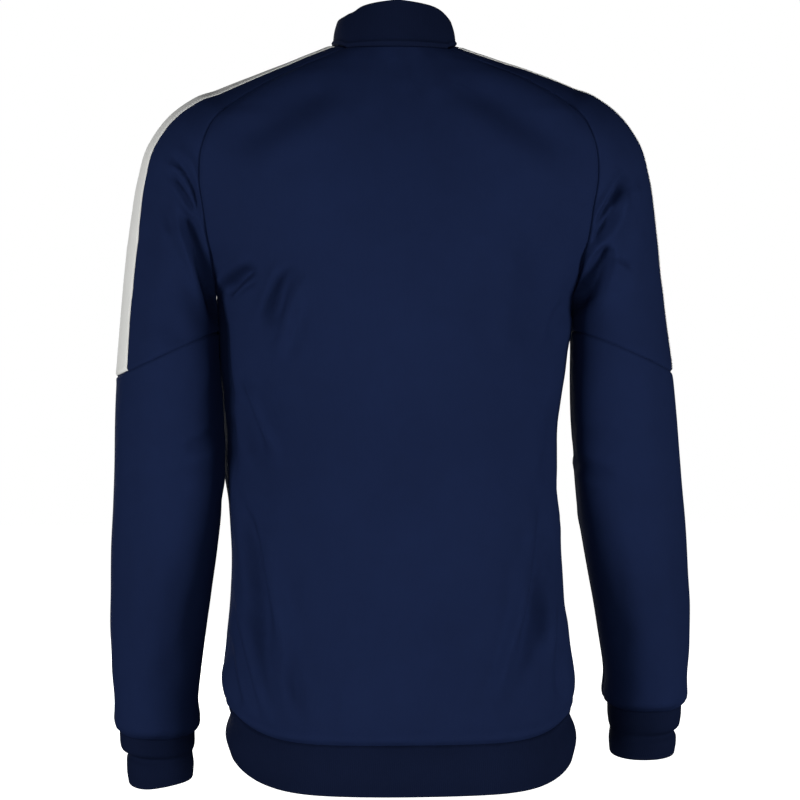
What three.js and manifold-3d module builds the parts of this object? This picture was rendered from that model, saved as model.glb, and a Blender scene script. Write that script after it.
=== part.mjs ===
// Track jacket: a zipped jacket with raglan sleeves and a stand collar, filled out as if it were worn.
// Millimetres, +Z up, the front faces -Y, and +X is the wearer's left.
// The origin is in the middle of the neck opening, level with the shoulders that hold the jacket up.
// Every cloth piece is a wall: a grid of outer points, and the same grid moved in by the cloth's thickness.

import * as THREE from 'three';
import { mergeVertices } from 'three/addons/utils/BufferGeometryUtils.js';
import Module from 'manifold-3d';

const wasm = await Module();
wasm.setup();

const radians = THREE.MathUtils.degToRad;
const degrees = THREE.MathUtils.radToDeg;
const blend = THREE.MathUtils.lerp;
const smooth = THREE.MathUtils.smoothstep;

// Cloth
const CLOTH_WALL = 1.5;
const RIB_WALL = 2.4;
const SEAM_GAP = 0.3;
const SAME_POINT = 0.02;
const LEAST_AGREEMENT = 0.6;
const MERGE_DISTANCE = 1e-5;
const FRONT_EDGE_X = 6;

// Levels and planes
const UNDERARM_Z = -235;
const SHOULDER_PIVOT_X = 40;
const HEM_BACK_Z = -645.5;
const HEM_RISE = 27;
const HEM_RISE_POWER = 6;
const HEM_SECTION = { half: 165, depth: 112, square: 2.5 };
const HEM_FRONT_Z = -612;
const HEM_BAND_HEIGHT = 47.5;
const HEM_PINCH = 5;
const HEM_PINCH_REACH = 12;
const ELBOW_SEAM_Z = -288;
const ELBOW_SEAM_SLOPE = 0.433;
const CUFF_SEAM_Z = -631;
const CUFF_BOTTOM_Z = -684;
const CUFF_TILT = 0.25;
const SLEEVE_SQUARE = 2.2;
const NECK_FRONT_Z = -62;
const NECK_CURVE = 1.6;

// The left arm hangs a little lower than the right one, and so does the left shoulder. The arms and the
// body sway a little to the side further down.
const ARM_STRETCH = { left: 1.032, right: 0.976 };
const ARM_SWAY = table('z shift', [
  [-240, 0],
  [-300, -1],
  [-332, -1.8],
  [-408, -5],
  [-484, -7.5],
  [-600, -10.5],
  [-700, -12],
]);
const BODY_SWAY = table('z shift', [
  [-240, 0],
  [-332, 1.3],
  [-400, 2.2],
  [-446, 0],
  [-490, -2],
  [-620, -5.2],
  [-700, -9],
]);
const SHOULDER_DROP = { depth: 5.2, fromX: 50, toX: 150, lowZ: -220, highZ: -110 };

// Body below the underarm: half its width, its depth to the back and to the front, and its squareness
const BODY = table('z half back front square', [
  [-235, 166.7, 118, 120, 2.25],
  [-300, 163, 114, 116, 2.3],
  [-332, 158.6, 111, 113, 2.3],
  [-370, 155.4, 108, 110, 2.35],
  [-420, 155, 106, 107, 2.4],
  [-470, 154.5, 106, 105, 2.4],
  [-520, 157.5, 109, 105, 2.45],
  [-560, 162, 113, 106, 2.5],
  [-595, 166, 117, 107, 2.5],
  [-650, 167, 115, 104, 2.5],
]);

// Body above the underarm: its depth at the centre back and centre front, and its squareness
const YOKE_BACK = table('z depth square', [
  [-235, 118, 2.25],
  [-190, 119, 2.1],
  [-150, 115.5, 2],
  [-110, 107, 2],
  [-75, 96, 2],
  [-45, 84, 2],
  [-20, 71, 2],
  [0, 60.5, 2],
]);
const YOKE_FRONT = table('z depth square', [
  [-235, 120, 2.25],
  [-190, 118, 2.1],
  [-150, 110, 2],
  [-110, 94, 2],
  [-85, 76, 2],
  [-62, 58, 2],
  [-40, 51, 2],
  [-20, 45, 2],
  [-9, 42, 2],
]);

// Shoulder sections in planes that turn about the pivot line: angle up from the horizontal, distance to
// the outside, to the section's middle, and in from there, depth to the back and to the front, distance to
// the two raglan seams, bend of the plane at the seams, and how far back the section's middle lies
const SHOULDER = table('angle out centre inward back front seamBack seamFront bend middle', [
  [0, 214.5, 170.75, 43.45, 63, 62, 127.3, 127.3, 0, 0],
  [6, 213.3, 167.5, 44.5, 65, 62, 130, 131, 0, 1],
  [13.7, 215.5, 163, 47, 66, 61, 135.3, 137, 0, 2],
  [20, 219.7, 160, 50, 68, 61, 144, 146, 0, 3],
  [29.4, 230, 168, 55, 73.5, 63.5, 160, 160, 0, 3],
  [37.8, 240, 181.8, 55, 77, 64, 181.8, 176, 0, 3],
  [45, 242.8, 187, 55, 76.5, 60, 199, 190, 0, 3],
  [52.3, 240, 190, 55, 71, 55, 210.6, 201, 0, 3],
  [57, 234.4, 185, 55, 68.5, 53, 213.2, 206, 0, 3],
  [62.6, 231.3, 178, 55, 68, 53.8, 214.8, 210, 0, 3],
  [68, 229.5, 174, 55, 68, 54, 216.6, 213, 0.4, 3],
  [73, 229, 172, 55, 68, 55.5, 218.3, 216, 0.9, 3],
  [80, 231.5, 176, 55, 72, 55, 222, 221, 1.5, 3],
  [85.7, 236.5, 180, 55, 79, 54, 230, 226, 2.6, 3],
]);

// Arm sections below the underarm: the outer and inner side, the middle's place, depth back and front
const ARM = table('z outer inner middle back front', [
  [-235, 254.5, 167.3, 0, 63, 62],
  [-277, 259, 167.5, 0.5, 63, 61],
  [-315, 263, 166.5, 0.5, 62, 60],
  [-350, 265.5, 166, 0, 61, 59],
  [-390, 267.5, 167, -2, 59, 57],
  [-427, 270, 168.5, -7, 56, 55],
  [-465, 273, 173.5, -13, 53, 53],
  [-503, 275, 180, -20, 50, 50],
  [-540, 277, 186.5, -27, 48, 48],
  [-574, 277, 191.5, -34, 46, 46],
  [-602, 275, 195.5, -40, 44.5, 44],
  [-622, 272, 198, -44, 43, 43],
  [-631, 268, 200.5, -46, 29, 29],
  [-644, 267.5, 200.5, -48, 29, 29],
  [-657, 266, 201.5, -50, 27.5, 27.5],
  [-671, 266, 200.5, -52, 28, 28],
  [-684, 264.5, 201.5, -54, 26, 26],
]);

// Collar: its top ring, and the ring's height by the angle from the centre back
const COLLAR_TOP = { half: 54, back: 50, front: 58 };
const COLLAR_HEIGHT = table('angle z', [[0, 39.5], [45, 34.5], [90, 24.5], [135, 4], [180, -12]]);
const COLLAR_SWELL = 1.2;

// How far the hem band stands out beyond its seam, from the seam, part 0, to its open edge, part 1
const HEM_BAND_SWELL = table('part out', [[0, 0], [0.3, 3.6], [0.6, 4.2], [1, -0.5]]);

// Band over each shoulder. Down the arm its middle lies a little behind the outer line of the left sleeve
// and before that of the right one, because the jacket is turned a little on what holds it.
const SHOULDER_BAND = { half: 28, wall: 0.9, off: 0.3 };
const BAND_TURN = { left: 12, right: -12, fromAngle: 80, toAngle: 45 };

// Zip: tapes behind the front edges, the chain between them, and the slider with its pull
const TAPE = { inner: 1.9, outer: 14, depth: 3.8, wall: 1, endGap: 1 };
const CHAIN = { half: 3, wall: 3.4, topZ: -21.5 };
const SLIDER = { z: -24, half: 4.5, plate: 1.4, length: 13, gap: 0.3, backDepth: 5.9 };
const SLIDER_POST = { half: 1, length: 3 };
const BRIDGE = { half: 1.2, bar: 1.2, tunnel: 3, length: 9 };
const PULL = { half: 3.5, length: 26, wall: 1.6, rail: 1, windowHalf: 1.8, window: 8 };

// Number of grid cells
const CELLS = { back: 18, front: 8, sleeveSide: 6, band: 4, upperArm: 4, lowerArm: 14, cuff: 4, body: 15 };
const ROWS = { collar: 3, hemBand: 4 };
const SHOULDER_ROWS = [85.7, 84.9, 80, 74, 68, 62, 56, 50, 44, 37.8, 31, 24, 17, 10.5, 5.5, 2, 0];
const BODY_PARTS = Array.from({ length: CELLS.body + 1 }, (_, i) => i / CELLS.body);
const SIGN = { left: 1, right: -1 };

const FOLD_STEPS = 12;
const FOLD_FADE = 45;

// Largest folds: x and z of three points along each, its depth, negative for a ridge, and half its width
const BACK_FOLDS = folds('x1 z1 x2 z2 x3 z3 depth reach', [
  [141, -424, 131, -496, 121, -590, 5, 13],
  [122, -487, 106, -568, 99, -600, -3, 12],
  [-130, -424, -128, -500, -92, -600, 5, 14],
  [-126, -187, -121, -237, -116, -290, 3, 20],
  [60, -50, 105, -66, 150, -95, 4, 17],
  [-60, -50, -105, -66, -150, -95, 4, 17],
  [124, -205, 126, -240, 133, -275, 3, 14],
]);
const FRONT_FOLDS = folds('x1 z1 x2 z2 x3 z3 depth reach', [
  [136, -430, 122, -500, 104, -585, 4, 14],
  [-138, -420, -126, -500, -112, -590, 4, 14],
  [128, -200, 118, -245, 112, -300, 4, 18],
  [-128, -200, -118, -245, -112, -300, 4, 18],
]);
const SLEEVE_FOLDS = {
  left: folds('x1 z1 x2 z2 x3 z3 depth reach', [
    [199, -161, 186, -195, 172, -245, 4, 10],
    [213, -115, 196, -141, 180, -175, 2.5, 10],
  ]),
  right: folds('x1 z1 x2 z2 x3 z3 depth reach', [
    [203, -161, 190, -175, 178, -185, 3, 10],
    [194, -198, 170, -222, 166, -255, 3.5, 10],
  ]),
};

const COLOURS = {
  navy: 0x1b2544,
  navyRib: 0x141b34,
  offWhite: 0xd9dad8,
  zip: 0x11162a,
  metal: 0x8d9096,
};

// A table is a row of names and rows of numbers. It gives every column at a key on a smooth curve
// that doesn't overshoot between two rows.
function table(names, rows) {
  const columns = names.split(' ').slice(1);
  const sorted = [...rows].sort((a, b) => a[0] - b[0]);
  const keys = sorted.map((row) => row[0]);
  const curves = columns.map((name, i) => smoothCurve(keys, sorted.map((row) => row[i + 1])));
  return (key) => Object.fromEntries(columns.map((name, i) => [name, curves[i](key)]));
}

// A cubic through the values, with each slope the harmonic mean of its neighbours', or zero at a turn.
function smoothCurve(keys, values) {
  const rise = keys.slice(1).map((key, i) => (values[i + 1] - values[i]) / (key - keys[i]));
  const slopes = values.map((value, i) => {
    const before = rise[i - 1] ?? rise[0];
    const after = rise[i] ?? rise[i - 1];
    return before * after > 0 ? (2 * before * after) / (before + after) : 0;
  });
  return (key) => {
    const at = THREE.MathUtils.clamp(key, keys[0], keys[keys.length - 1]);
    const i = Math.max(0, Math.min(keys.length - 2, keys.findLastIndex((start) => start <= at)));
    const span = keys[i + 1] - keys[i];
    const t = (at - keys[i]) / span;
    const startPart = (1 + 2 * t) * (1 - t) ** 2 * values[i] + t * (1 - t) ** 2 * span * slopes[i];
    const endPart = t * t * (3 - 2 * t) * values[i + 1] - t * t * (1 - t) * span * slopes[i + 1];
    return startPart + endPart;
  };
}

// Folds seen from the back or the front: a soft trough along the curve through three points, deepest in
// its middle. The result is the depth at a place, in millimetres inward.
function folds(names, rows) {
  const list = rows.map(([x1, z1, x2, z2, x3, z3, depth, reach]) => {
    const curve = new THREE.QuadraticBezierCurve(
      new THREE.Vector2(x1, z1),
      new THREE.Vector2(2 * x2 - (x1 + x3) / 2, 2 * z2 - (z1 + z3) / 2),
      new THREE.Vector2(x3, z3),
    );
    return { points: curve.getPoints(FOLD_STEPS), depth, reach };
  });
  return (x, z) => {
    let total = 0;
    for (const { points, depth, reach } of list) {
      const distances = points.map((point) => Math.hypot(x - point.x, z - point.y));
      const nearest = Math.min(...distances);
      total += depth * Math.exp(-((nearest / reach) ** 2));
    }
    return total;
  };
}

// The point at an angle on a rounded section with the given half width and depth
function sectionPoint(angle, half, depth, square) {
  const across = Math.abs(Math.sin(angle) / half) ** square;
  const along = Math.abs(Math.cos(angle) / depth) ** square;
  const radius = (across + along) ** (-1 / square);
  return [radius * Math.sin(angle), radius * Math.cos(angle)];
}

// Evenly spaced values from start up to end, without the end
function steps(start, end, count) {
  return Array.from({ length: count }, (_, i) => blend(start, end, i / count));
}

// The height of the seam between the body and the hem band: lowest at the centre back
function hemSeamZ(angle) {
  const [x] = sectionPoint(angle, HEM_SECTION.half, HEM_SECTION.depth, HEM_SECTION.square);
  const aside = Math.abs(x) / HEM_SECTION.half;
  const sideZ = HEM_BACK_Z + HEM_RISE;
  if (Math.cos(angle) > 0) {
    return HEM_BACK_Z + HEM_RISE * aside ** HEM_RISE_POWER;
  }
  return blend(HEM_FRONT_Z, sideZ, aside ** 3);
}

// The angle round a shoulder section at which its seam lies: positive on the back, negative on the front
function seamAngle(section, face) {
  const offset = (face > 0 ? section.seamBack : section.seamFront) - section.centre;
  const reach = offset > 0 ? section.out - section.centre : section.inward;
  const depth = face > 0 ? section.back : section.front;
  const rest = Math.max(0, 1 - Math.abs(offset / reach) ** SLEEVE_SQUARE);
  return face * Math.atan2(depth * rest ** (1 / SLEEVE_SQUARE), offset);
}

// A point of a shoulder section: its plane bends a little towards the neck at the seams.
function shoulderPoint(angle, around) {
  const section = SHOULDER(angle);
  const reach = Math.cos(around) > 0 ? section.out - section.centre : section.inward;
  const depth = Math.sin(around) > 0 ? section.back : section.front;
  const [y, along] = sectionPoint(around, depth, reach, SLEEVE_SQUARE);
  const end = seamAngle(section, around > 0 ? 1 : -1);
  const plane = radians(angle + section.bend * (around / end) ** 2);
  const distance = section.centre + along;
  return new THREE.Vector3(
    SHOULDER_PIVOT_X + distance * Math.cos(plane),
    section.middle + y,
    UNDERARM_Z + distance * Math.sin(plane),
  );
}

// A raglan seam's point on the left side at a shoulder angle, on the back or the front
function raglanPoint(angle, face) {
  return shoulderPoint(angle, seamAngle(SHOULDER(angle), face));
}

// A point of the left arm below the underarm
function armPoint(z, around) {
  const section = ARM(z);
  const reach = (section.outer - section.inner) / 2;
  const depth = Math.sin(around) > 0 ? section.back : section.front;
  const [y, along] = sectionPoint(around, depth, reach, SLEEVE_SQUARE);
  return new THREE.Vector3((section.outer + section.inner) / 2 + along, section.middle + y, z);
}

// The slanted elbow seam, higher on the inside of the arm
function elbowSeamZ(around) {
  const point = armPoint(ELBOW_SEAM_Z, around);
  const section = ARM(ELBOW_SEAM_Z);
  return ELBOW_SEAM_Z - ELBOW_SEAM_SLOPE * (point.x - (section.outer + section.inner) / 2);
}

// The angles of a sleeve's columns: even across the band's place, and even from there to each seam
function sleeveAngles(side, backEnd, frontEnd, reach, angle = 0) {
  const turn = BAND_TURN[side] * (1 - smooth(angle, BAND_TURN.toAngle, BAND_TURN.fromAngle));
  const bandBack = (turn + SHOULDER_BAND.half) / reach;
  const bandFront = (turn - SHOULDER_BAND.half) / reach;
  return [
    ...steps(backEnd, bandBack, CELLS.sleeveSide),
    ...steps(bandBack, bandFront, CELLS.band),
    ...steps(bandFront, frontEnd, CELLS.sleeveSide),
    frontEnd,
  ];
}

function armAngles(side) {
  const section = ARM(ELBOW_SEAM_Z);
  return sleeveAngles(side, Math.PI, -Math.PI, (section.outer - section.inner) / 2);
}

// Half the yoke's width by height, so that the body meets the raglan seam exactly
function yokeWidths(depths, face) {
  const rows = YOKE_ROWS.map((angle) => {
    const point = raglanPoint(angle, face);
    const { depth, square } = depths(point.z);
    return [point.z, point.x / (1 - (Math.abs(point.y) / depth) ** square) ** (1 / square)];
  });
  return table('z half', [...rows, [UNDERARM_Z, BODY(UNDERARM_Z).half]]);
}
const YOKE_ROWS = SHOULDER_ROWS.filter((angle) => angle > 0);
const YOKE_BACK_WIDTH = yokeWidths(YOKE_BACK, 1);
const YOKE_FRONT_WIDTH = yokeWidths(YOKE_FRONT, -1);

// The body's section at a height, on the back or the front
function bodySection(z, face) {
  if (z > UNDERARM_Z) {
    const { depth, square } = face > 0 ? YOKE_BACK(z) : YOKE_FRONT(z);
    const { half } = face > 0 ? YOKE_BACK_WIDTH(z) : YOKE_FRONT_WIDTH(z);
    return { half, depth, square };
  }
  const ring = BODY(z);
  return { half: ring.half, depth: face > 0 ? ring.back : ring.front, square: ring.square };
}

// A point of the body at an angle from the centre back, drawn in where the hem seam gathers it
function bodyPoint(angle, z) {
  const face = Math.cos(angle) > 0 ? 1 : -1;
  const { half, depth, square } = bodySection(z, face);
  const aboveHem = z - hemSeamZ(angle);
  const pinch = HEM_PINCH * Math.exp(-((aboveHem / HEM_PINCH_REACH) ** 2));
  const [x, y] = sectionPoint(angle, half - pinch, depth - pinch, square);
  return new THREE.Vector3(x, y, z);
}

// A point pushed in by the folds, which fade out towards the seams
function foldIn(point, axisX, depthAt, fade) {
  const depth = depthAt(point.x, point.z) * fade;
  const inward = new THREE.Vector3(axisX - point.x, -point.y, 0).normalize();
  return point.addScaledVector(inward, depth);
}

// The back from its right seam to its left seam, row by row down to the hem
function backRows() {
  const sides = [...steps(-1, 1, CELLS.back), 1];
  const yoke = YOKE_ROWS.map((angle) => {
    const seam = raglanPoint(angle, 1);
    const end = Math.atan2(seam.x, seam.y);
    const neckFade = smooth(-seam.z, 0, FOLD_FADE);
    return sides.map((side) => {
      const point = bodyPoint(side * end, seam.z);
      return foldIn(point, 0, BACK_FOLDS, neckFade * (1 - side ** 6));
    });
  });
  const body = BODY_PARTS.map((part) =>
    sides.map((side) => {
      const angle = (side * Math.PI) / 2;
      const bottom = hemSeamZ(angle);
      const z = blend(UNDERARM_Z, bottom, part);
      const hemFade = smooth(z - bottom, 0, FOLD_FADE);
      return foldIn(bodyPoint(angle, z), 0, BACK_FOLDS, hemFade * (1 - side ** 6));
    }),
  );
  return [...yoke, ...body];
}

// The angle of a front column between the zip and the front's outer end
function frontAngle(side, end, z) {
  const zipEdge = Math.asin(FRONT_EDGE_X / bodySection(z, -1).depth);
  return Math.PI - blend(zipEdge, end, side);
}

// The centre front of a row whose raglan end is at the given height. The neckline dips at the centre.
function frontCentreZ(seamZ) {
  const top = raglanPoint(SHOULDER_ROWS[0], -1).z;
  return blend(UNDERARM_Z, NECK_FRONT_Z, (seamZ - UNDERARM_Z) / (top - UNDERARM_Z));
}

// A front point, with the folds faded out at its seams and its zip edge kept straight
function frontPoint(side, end, z, fade) {
  const point = bodyPoint(frontAngle(side, end, z), z);
  if (side === 0) {
    point.x = FRONT_EDGE_X;
  }
  return foldIn(point, 0, FRONT_FOLDS, fade * smooth(side, 0, 0.3) * (1 - side ** 6));
}

// The left front from its seams to the zip, row by row down to the hem
function frontLeftRows() {
  const sides = [1, ...steps(1 - 1 / CELLS.front, 0, CELLS.front - 1), 0];
  const yoke = YOKE_ROWS.map((angle) => {
    const seam = raglanPoint(angle, -1);
    const centreZ = frontCentreZ(seam.z);
    return sides.map((side) => {
      const z = blend(centreZ, seam.z, side ** NECK_CURVE);
      return frontPoint(side, Math.atan2(seam.x, -seam.y), z, smooth(NECK_FRONT_Z - z, 0, FOLD_FADE));
    });
  });
  const body = BODY_PARTS.map((part) =>
    sides.map((side) => {
      const bottom = hemSeamZ(frontAngle(side, Math.PI / 2, HEM_FRONT_Z));
      const z = blend(UNDERARM_Z, bottom, part);
      return frontPoint(side, Math.PI / 2, z, smooth(z - bottom, 0, FOLD_FADE));
    }),
  );
  return [...yoke, ...body];
}

// The upper sleeve of one side, drawn as a left one: from the collar down to the elbow seam
function upperSleeveRows(side) {
  const depthAt = (x, z) => SLEEVE_FOLDS[side](SIGN[side] * x, z);
  const shoulder = SHOULDER_ROWS.map((angle) => {
    const section = SHOULDER(angle);
    const backEnd = seamAngle(section, 1);
    const frontEnd = seamAngle(section, -1);
    const axisX = SHOULDER_PIVOT_X + section.centre;
    const reach = section.out - section.centre;
    return sleeveAngles(side, backEnd, frontEnd, reach, angle).map((around) => {
      const end = around > 0 ? backEnd : frontEnd;
      return foldIn(shoulderPoint(angle, around), axisX, depthAt, 1 - (around / end) ** 8);
    });
  });
  const armAxisX = SHOULDER_PIVOT_X + SHOULDER(0).centre;
  const arm = [...steps(1 / CELLS.upperArm, 1, CELLS.upperArm - 1), 1].map((part) =>
    armAngles(side).map((around) => {
      const bottom = elbowSeamZ(around);
      const z = blend(UNDERARM_Z, bottom, part);
      const fade = smooth(z - bottom, 0, FOLD_FADE / 2) * (1 - (around / Math.PI) ** 8);
      return foldIn(armPoint(z, around), armAxisX, depthAt, fade);
    }),
  );
  return [...shoulder, ...arm];
}

// The lower sleeve from the elbow seam to the cuff seam, which is square to the forearm
function lowerSleeveRows(side) {
  return [...steps(0, 1, CELLS.lowerArm), 1].map((part) =>
    armAngles(side).map((around) => {
      const z = blend(elbowSeamZ(around), CUFF_SEAM_Z, part);
      return squareToForearm(armPoint(z, around), part ** 3);
    }),
  );
}

// The cuff from its seam to its open end
function cuffRows(side) {
  return [...steps(CUFF_SEAM_Z, CUFF_BOTTOM_Z, CELLS.cuff), CUFF_BOTTOM_Z].map((z) =>
    armAngles(side).map((around) => squareToForearm(armPoint(z, around), 1)),
  );
}

// A sleeve point lowered at the back and raised at the front
function squareToForearm(point, amount) {
  point.z -= amount * CUFF_TILT * (point.y - ARM(point.z).middle);
  return point;
}

// The hem band below the body's last points
function hemBandRows(seamLine) {
  return [...steps(0, 1, ROWS.hemBand), 1].map((part) =>
    seamLine.map((seam) => {
      const outward = new THREE.Vector3(seam.x, seam.y, 0).normalize();
      const point = seam.clone().addScaledVector(outward, HEM_BAND_SWELL(part).out);
      point.x = Math.abs(seam.x) === FRONT_EDGE_X ? seam.x : point.x;
      point.z -= HEM_BAND_HEIGHT * part;
      return point;
    }),
  );
}

// The collar's top ring above a point of the neck seam
function collarTop(seam) {
  const angle = Math.atan2(seam.x, seam.y);
  const depth = Math.cos(angle) > 0 ? COLLAR_TOP.back : COLLAR_TOP.front;
  const [x, y] = sectionPoint(angle, COLLAR_TOP.half, depth, 2);
  return new THREE.Vector3(x, y, COLLAR_HEIGHT(Math.abs(degrees(angle))).z);
}

// A collar point from its top, part 0, to the neck seam, part 1
function collarPoint(seam, part) {
  const point = collarTop(seam).lerp(seam, part);
  const outward = new THREE.Vector3(seam.x, seam.y, 0).normalize();
  point.addScaledVector(outward, COLLAR_SWELL * Math.sin(part * Math.PI));
  point.x = Math.abs(seam.x) === FRONT_EDGE_X ? seam.x : point.x;
  return point;
}

function collarRows(neckLine) {
  return [...steps(0, 1, ROWS.collar), 1].map((part) => neckLine.map((seam) => collarPoint(seam, part)));
}

// The outer surface along the centre front at a distance beside it, from the collar's top to the hem
function centreFrontLine(x) {
  const frontAt = (z) => {
    const aside = Math.asin(Math.abs(x) / bodySection(z, -1).depth);
    const point = bodyPoint(Math.PI - aside, z);
    return new THREE.Vector3(x, point.y, z);
  };
  const neck = frontAt(NECK_FRONT_Z);
  const collar = steps(0, 1, ROWS.collar).map((part) => collarPoint(neck, part).setX(x));
  const yoke = YOKE_ROWS.map((angle) => frontAt(frontCentreZ(raglanPoint(angle, -1).z)));
  const body = BODY_PARTS.map((part) => frontAt(blend(UNDERARM_Z, HEM_FRONT_Z, part)));
  const band = hemBandRows([body[body.length - 1]]).slice(1);
  return [...collar, ...yoke, ...body, ...band.map((row) => row[0].setX(x))];
}

// Where a point of the left half comes to lie on its own side, with the arm's length and the sway
function hang(point, side = 'left', isArm = false) {
  const stretch = isArm && point.z < UNDERARM_Z ? ARM_STRETCH[side] : 1;
  const z = blend(UNDERARM_Z, point.z, stretch);
  const x = SIGN[side] * point.x;
  const sway = isArm ? ARM_SWAY(z).shift : BODY_SWAY(z).shift;
  const { depth, fromX, toX, lowZ, highZ } = SHOULDER_DROP;
  const drop = depth * smooth(x, fromX, toX) * smooth(z, lowZ, highZ);
  return new THREE.Vector3(x + sway, point.y, z - drop);
}

function hangRows(rows, side = 'left', isArm = false) {
  const placed = rows.map((row) => row.map((point) => hang(point, side, isArm)));
  return side === 'left' ? placed : placed.map((row) => row.reverse());
}

// A sheet is one cloth piece before it has its thickness: rows of outer points that run down the garment,
// each row clockwise seen from above, so that its face points outwards.
function makeSheet(name, rows, wall, material, ring = false) {
  return { name, rows, wall, material, ring, normals: sheetNormals(rows, ring) };
}

// The normal at each point: the sum of the normals of the cells round it
function sheetNormals(rows, ring) {
  const normals = rows.map((row) => row.map(() => new THREE.Vector3()));
  const last = rows[0].length - 1;
  for (let r = 0; r < rows.length - 1; r += 1) {
    for (let c = 0; c < last; c += 1) {
      const falling = rows[r + 1][c + 1].clone().sub(rows[r][c]);
      const rising = rows[r][c + 1].clone().sub(rows[r + 1][c]);
      const normal = rising.cross(falling);
      for (const [row, column] of [[r, c], [r, c + 1], [r + 1, c], [r + 1, c + 1]]) {
        normals[row][column].add(normal);
      }
    }
  }
  if (ring) {
    for (const row of normals) {
      row[0].add(row[last]);
      row[last].copy(row[0]);
    }
  }
  for (const normal of normals.flat()) {
    normal.normalize();
  }
  return normals;
}

// Where pieces meet at a seam, they share one direction through the cloth, so that their edges lie
// side by side through its whole thickness.
function joinSeams(sheets) {
  const edges = sheets.flatMap(edgePoints);
  const joined = edges.map(({ point, normal }) => {
    const mean = new THREE.Vector3();
    for (const other of edges) {
      if (other.point.distanceToSquared(point) < SAME_POINT ** 2) {
        mean.add(other.normal);
      }
    }
    mean.normalize();
    const agreement = mean.dot(normal);
    return agreement > LEAST_AGREEMENT ? mean.divideScalar(agreement) : normal.clone();
  });
  edges.forEach(({ normal }, i) => normal.copy(joined[i]));
}

function edgePoints(sheet) {
  const lastRow = sheet.rows.length - 1;
  const lastColumn = sheet.rows[0].length - 1;
  return sheet.rows.flatMap((row, r) =>
    row.flatMap((point, c) => {
      const sideEdge = !sheet.ring && (c === 0 || c === lastColumn);
      return r === 0 || r === lastRow || sideEdge ? [{ point, normal: sheet.normals[r][c] }] : [];
    }),
  );
}

// The sheet's points at a depth under its outer surface, with the edges drawn in by half the seam's gap
function layerPoints(sheet, depth) {
  const deep = sheet.rows.map((row, r) =>
    row.map((point, c) => point.clone().addScaledVector(sheet.normals[r][c], -depth)),
  );
  const lastRow = deep.length - 1;
  const lastColumn = deep[0].length - 1;
  const towards = (point, other) => other.clone().sub(point).setLength(SEAM_GAP / 2);
  return deep.map((row, r) =>
    row.map((point, c) => {
      const moved = point.clone();
      if (r === 0 || r === lastRow) {
        moved.add(towards(point, deep[r === 0 ? 1 : r - 1][c]));
      }
      if (!sheet.ring && (c === 0 || c === lastColumn)) {
        moved.add(towards(point, row[c === 0 ? 1 : c - 1]));
      }
      return moved;
    }),
  );
}

// The closed wall of a sheet: its outer face, its inner face turned round, and the four narrow edges
function sheetGeometry(sheet) {
  const outer = layerPoints(sheet, 0);
  const inner = layerPoints(sheet, sheet.wall);
  const lastRow = outer.length - 1;
  const lastColumn = outer[0].length - 1;
  const corners = [];
  const addQuad = (a, b, c, d) => corners.push(a, b, d, b, c, d);
  const addTurnedQuad = (a, b, c, d) => corners.push(b, a, d, c, b, d);
  for (let r = 0; r < lastRow; r += 1) {
    for (let c = 0; c < lastColumn; c += 1) {
      addQuad(outer[r][c], outer[r][c + 1], outer[r + 1][c + 1], outer[r + 1][c]);
      addTurnedQuad(inner[r][c], inner[r][c + 1], inner[r + 1][c + 1], inner[r + 1][c]);
    }
    if (!sheet.ring) {
      addQuad(inner[r][0], outer[r][0], outer[r + 1][0], inner[r + 1][0]);
      const end = [outer[r][lastColumn], inner[r][lastColumn]];
      addQuad(...end, inner[r + 1][lastColumn], outer[r + 1][lastColumn]);
    }
  }
  for (let c = 0; c < lastColumn; c += 1) {
    addQuad(inner[0][c], inner[0][c + 1], outer[0][c + 1], outer[0][c]);
    addQuad(outer[lastRow][c], outer[lastRow][c + 1], inner[lastRow][c + 1], inner[lastRow][c]);
  }
  return mergeVertices(new THREE.BufferGeometry().setFromPoints(corners), MERGE_DISTANCE);
}

function finish(colour, roughness, metalness = 0) {
  return new THREE.MeshStandardMaterial({ color: colour, roughness, metalness });
}

function namedMesh(name, geometry, material) {
  geometry.computeVertexNormals();
  const mesh = new THREE.Mesh(geometry, material);
  mesh.name = name;
  return mesh;
}

// The band over a shoulder: the sleeve's own points near its outer line, moved out. It starts at the
// sleeve's second row, just clear of the collar.
function bandSheet(side, sleeve) {
  const first = CELLS.sleeveSide;
  const columns = (row) => row.slice(first, first + CELLS.band + 1);
  const normals = sleeve.normals.slice(1).map(columns);
  const rise = SHOULDER_BAND.off + SHOULDER_BAND.wall;
  const rows = sleeve.rows.slice(1).map((row, r) =>
    columns(row).map((point, c) => point.clone().addScaledVector(normals[r][c], rise)),
  );
  const sheet = makeSheet(`shoulder_band_${side}`, rows, SHOULDER_BAND.wall, MATERIALS.band);
  sheet.normals = normals;
  return sheet;
}

// A strip along the centre front between two distances from it, at a depth under the cloth
function zipStrip(name, from, to, depth, wall, topZ) {
  const lines = [from, to].map((x) => centreFrontLine(x));
  const top = lines[0].findIndex((point) => point.z < topZ);
  const rows = lines[0].map((point, r) => lines.map((line) => line[r])).slice(top - 1);
  rows[0] = rows[0].map((point, c) => {
    const below = rows[1][c];
    return point.clone().lerp(below, (point.z - topZ) / (point.z - below.z));
  });
  const placed = hangRows(rows.map((row) => row.reverse()));
  const normals = sheetNormals(placed, false);
  const deep = placed.map((row, r) =>
    row.map((point, c) => point.clone().addScaledVector(normals[r][c], -depth)),
  );
  return makeSheet(name, deep, wall, MATERIALS.zip);
}

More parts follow.
